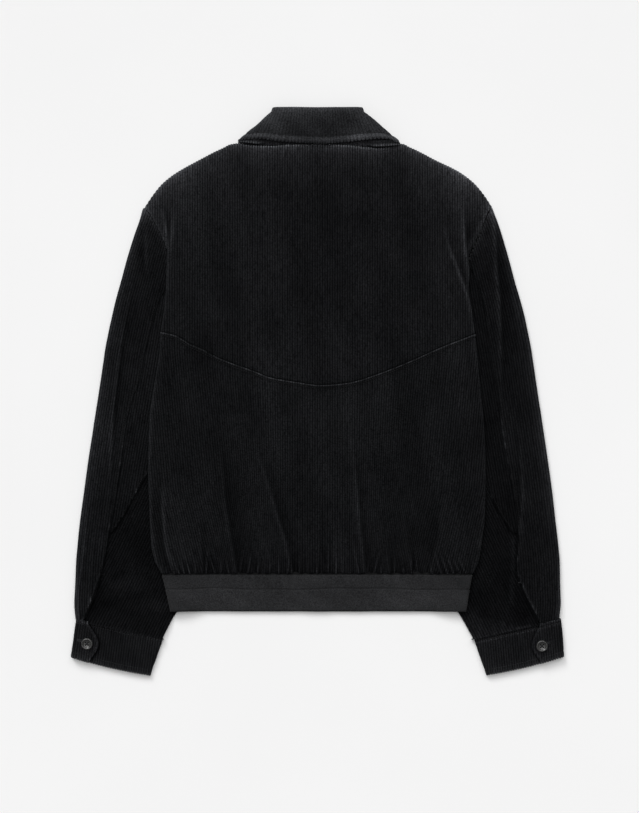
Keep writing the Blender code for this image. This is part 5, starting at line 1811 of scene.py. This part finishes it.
def make_stitches():
    """The rows of stitches on the yoke, the sleeves, the cuffs and the collar."""
    back = Thread()
    line = [(x, YOKE_SEAM(x) - 4.3) for x in np.arange(-221.0, 221.0, 2.0)]
    back.line([(x, y, back_height(x, y) + 0.35) for x, y in line])
    back.made("thread_yoke")

    for side in SIDES:
        name = NAME[side]
        sleeve = Thread()
        top, low = GUSSET_TOP[side] - 30.0, SLIT_TOP[side] + 3.0
        sleeve.line(sleeve_line(side, BACK_SEAM[side], 3.5, top, low), seed=1.0)
        line = sleeve_line(side, WEDGE_SEAM[side], 3.2, -100.0, GUSSET_TIP[side] + 2.0)
        sleeve.line(line, seed=2.0)
        low = GUSSET_TOP[side] + 2.0
        # the right armhole is drawn in by its stitches
        if side == RIGHT:
            seam = sleeve_line(side, lambda y: outer_seam(RIGHT, y), -0.9, SLEEVE_TOP - 2.0, low, 0.0)
            top = 226.0  # above this the armhole runs under the shoulder's fold
            line = [(x, y, max(z, back_height(x, y)) + 0.2) for x, y, z in seam if y < top]
            sleeve.line(line, 6.0, 4.6, 0.85, seed=8.0)
        # the slit's edge, and the bar tack at its top
        line = sleeve_line(side, BACK_SEAM[side], 2.6, SLIT_TOP[side] + 3.0, CUFF_SEAM + 3.0, 0.4)
        sleeve.line(line, seed=3.0)
        y = SLIT_TOP[side] + 2.0
        middle = BACK_SEAM[side](y)
        tack = Thread()
        for k in range(3 if side == RIGHT else 1):
            tack_line = []
            for off in np.linspace(-3.5, 3.5 if side == RIGHT else 15.0, 9):
                d = middle + off
                place = sleeve_place(d, y - 0.6 * k)
                tack_line.append((side * d, place, sleeve_height(side, d, place) + 0.9))
            tack.line(tack_line, 2.4, 2.0, 0.32 if side == RIGHT else 0.22)
        tack.made(f"thread_tack_{name}", THREAD_LIGHT if side == RIGHT else THREAD)
        sleeve.made(f"thread_sleeve_{name}", THREAD_DARK)
        make_cuff_stitches(side, name)

    collar = Thread()
    line = []
    down = 1.0 - FALL_ROW / FALL_HEIGHT
    for x in np.arange(-96.0, 98.0, 2.0):
        half = COLLAR_SIDE[LEFT if x < 0 else RIGHT](down) - COLLAR_STACK / 2.0
        across = min(abs(x) / half, 1.0)
        y = mix(COLLAR_TOP, FALL_EDGE(x * COLLAR_HALF / half), down) - COLLAR_ROLL * (1.0 - down)
        line.append((x, y, collar_height(across) + 0.25))
    collar.line(line, seed=4.0)
    collar.made("thread_collar")


def cuff_spot(side, along_mm, down, z):
    """A point on a cuff, along_mm from its outer fold."""
    d, y = cuff_point(side, along_mm / cuff_width(side, down), down)
    return (side * d, y, z)


def make_cuff_stitches(side, name):
    """Two rows along the band and over the tab, and one down the tab's edge."""
    cuff = Thread()
    tab = CUFFS[side]["tab"]
    for down in (0.065, 0.875):
        z = CUFF_BAND_TOP + 0.3
        band = np.arange(tab(down) + 2.0, cuff_width(side, down) - 2.0, 3.0)
        cuff.line([cuff_spot(side, along, down, z) for along in band], seed=5.0)
        z = CUFF_TAB_TOP + 0.3
        over = np.arange(2.5, tab(down) - 2.5, 2.0)
        cuff.line([cuff_spot(side, along, down, z) for along in over], seed=6.0)
    edge = np.linspace(0.07, 0.87, 24)
    cuff.line([cuff_spot(side, tab(down) - 3.0, down, z) for down in edge], seed=7.0)
    cuff.made(f"thread_cuff_{name}", THREAD_LIGHT)


# --- Buttons ---

AROUND = 48  # points round a button
HOLE_PLACE = 2.4  # from the button's middle to the middle of each hole
HOLE_RADIUS = 0.95
HOLE_ANGLES = [math.radians(45.0 + 90.0 * k) for k in range(4)]
PROFILE = (
    (1.2, 1.95), (3.9, 2.0), (4.7, 2.15), (5.3, 2.7), (5.9, 3.2), (6.6, 3.4),
    (7.3, 3.25), (7.9, 2.6), (8.2, 1.8), (8.0, 0.9), (7.3, 0.25), (6.2, 0.0),
)


def round_spot(radius, angle, z):
    return np.array((radius * math.cos(angle), radius * math.sin(angle), z))


def make_button(side):
    """A four-hole button with a raised rim, sewn on with crossed thread."""
    name = NAME[side]
    d, y = BUTTON_PLACE[side]
    middle = np.array([side * d, y, CUFF_TAB_TOP + SEAM])
    turns = [math.tau * k / AROUND for k in range(AROUND)]
    points = [middle + round_spot(radius, angle, z) for radius, z in PROFILE for angle in turns]
    faces = []
    last = (len(PROFILE) - 1) * AROUND
    for first in range(0, last, AROUND):
        for k in range(AROUND):
            a, b = first + k, first + (k + 1) % AROUND
            faces.append((a, a + AROUND, b + AROUND, b))
    top = len(points)
    points.append(middle + (0.0, 0.0, PROFILE[0][1]))
    points.append(middle + (0.0, 0.0, PROFILE[-1][1]))
    for k in range(AROUND):
        n = (k + 1) % AROUND
        faces.append((top, k, n))
        faces.append((top + 1, last + n, last + k))
    points = np.array(points)
    replaced = [f"button_{name}"]
    disc = new_object(f"button_disc_{name}", points, faces, HORN_FINISH, None, replaced)
    for angle in HOLE_ANGLES:
        spot = Vector(middle + round_spot(HOLE_PLACE, angle, 2.0)) * MM
        bpy.ops.mesh.primitive_cylinder_add(
            vertices=20, radius=HOLE_RADIUS * MM, depth=7.0 * MM, location=spot
        )
        cutter = bpy.context.object
        cut = disc.modifiers.new("hole", "BOOLEAN")
        cut.operation = "DIFFERENCE"
        cut.object = cutter
        bpy.context.view_layer.objects.active = disc
        bpy.ops.object.modifier_apply(modifier=cut.name)
        bpy.data.objects.remove(cutter, do_unlink=True)
    thread = Thread()
    for k in range(2):
        for wide in (-0.3, 0.3):
            ends = []
            for angle, turn in ((HOLE_ANGLES[k], 0.0), (HOLE_ANGLES[k + 2], math.pi)):
                off = (-wide * math.sin(angle + turn), wide * math.cos(angle + turn), 2.35)
                ends.append(middle + round_spot(HOLE_PLACE, angle, 0.0) + off)
            thread.stitch(*ends, (0.0, 0.0, 1.0), 0.4)
    thread.made(f"thread_button_{name}")


def make_buttonhole(side):
    """Close stitches beside the button, in two rows along the sides of its slot."""
    name = NAME[side]
    d, y = BUTTON_PLACE[side]
    hole = Thread()
    z = CUFF_TAB_TOP + 0.55
    lean = math.atan2(0.2, 1.0)
    for k in range(15 if side == LEFT else 11):
        out = 5.5 + 0.62 * k
        for off in (-0.95, 0.95):
            ends = []
            for across in (off - 0.8, off + 0.8):
                ends.append((side * (d + out * math.cos(lean)), y + 2.2 + across + out * 0.22, z))
            hole.stitch(*ends, (0.0, 0.0, 1.0), 0.34)
    hole.made(f"thread_buttonhole_{name}", THREAD_LIGHT)


# --- Zip ---


def dress_zip():
    """The zip keeps its solids."""
    for node, finish in (("zip_tape", TAPE), ("zip_slider", METAL), ("zip_pull_tab", METAL)):
        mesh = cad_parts[node].data
        mesh.materials.clear()
        mesh.materials.append(finish)


# --- Floor, light and camera ---


def make_stage():
    """A pale paper floor."""
    made = Nodes("floor_paper")
    made.set(Roughness=0.95, Specular_IOR_Level=0.05)
    grain = made.noise(made.place("Object"), 3.0, 3.0)
    colour = made.ramp(grain, (0.3, (0.86, 0.86, 0.86)), (0.7, (0.875, 0.875, 0.875)))
    made.link(colour, made.shader.inputs["Base Color"])
    mesh = bpy.data.meshes.new("floor")
    half = 30.0
    corners = [(x * half, y * half, 0.0) for x, y in ((-1, -1), (1, -1), (1, 1), (-1, 1))]
    mesh.from_pydata(corners, [], [(0, 1, 2, 3)])
    mesh.materials.append(made.material)
    floor = bpy.data.objects.new("floor", mesh)
    floor.location.z = -0.0004  # just under the jacket
    bpy.context.scene.collection.objects.link(floor)


def add_sun(name, towards, height, share, softness):
    """A broad lamp: towards is its side on the plan, share the part of the floor's light."""
    data = bpy.data.lights.new(name, "SUN")
    data.angle = math.radians(softness)
    place = Vector((*towards, 0.0)).normalized() * math.cos(math.radians(height))
    place.z = math.sin(math.radians(height))
    data.energy = share * math.pi / place.z
    made = bpy.data.objects.new(name, data)
    made.location = place * 3.0
    made.rotation_euler = (-place).to_track_quat("-Z", "Y").to_euler()
    bpy.context.scene.collection.objects.link(made)


def make_light():
    world = bpy.data.worlds.new("studio")
    world.use_nodes = True
    background = world.node_tree.nodes["Background"]
    background.inputs["Color"].default_value = (1.0, 1.0, 1.0, 1.0)
    background.inputs["Strength"].default_value = 0.24
    bpy.context.scene.world = world
    add_sun("overhead", (-0.1, 1.0), 74.0, 0.42, 44.0)
    add_sun("key", (-0.5, 1.0), 37.0, 0.3, 26.0)
    add_sun("fill", (0.4, 1.0), 42.0, 0.09, 26.0)
    bpy.context.scene.view_settings.view_transform = "Standard"
    bpy.context.scene.view_settings.look = "None"


def make_camera():
    data = bpy.data.cameras.new("camera")
    data.lens, data.sensor_width, data.clip_end = 85.0, 36.0, 50.0
    made = bpy.data.objects.new("camera", data)
    made.location = (0.0028, -0.0217, 2.6934)  # straight above the jacket
    bpy.context.scene.collection.objects.link(made)
    bpy.context.scene.camera = made


make_stage()
make_light()
make_camera()
make_back()
make_band()
for each in SIDES:
    make_sleeve(each)
    make_cuff(each)
    make_button(each)
    make_buttonhole(each)
make_collar()
make_hidden()
make_stitches()
dress_zip()
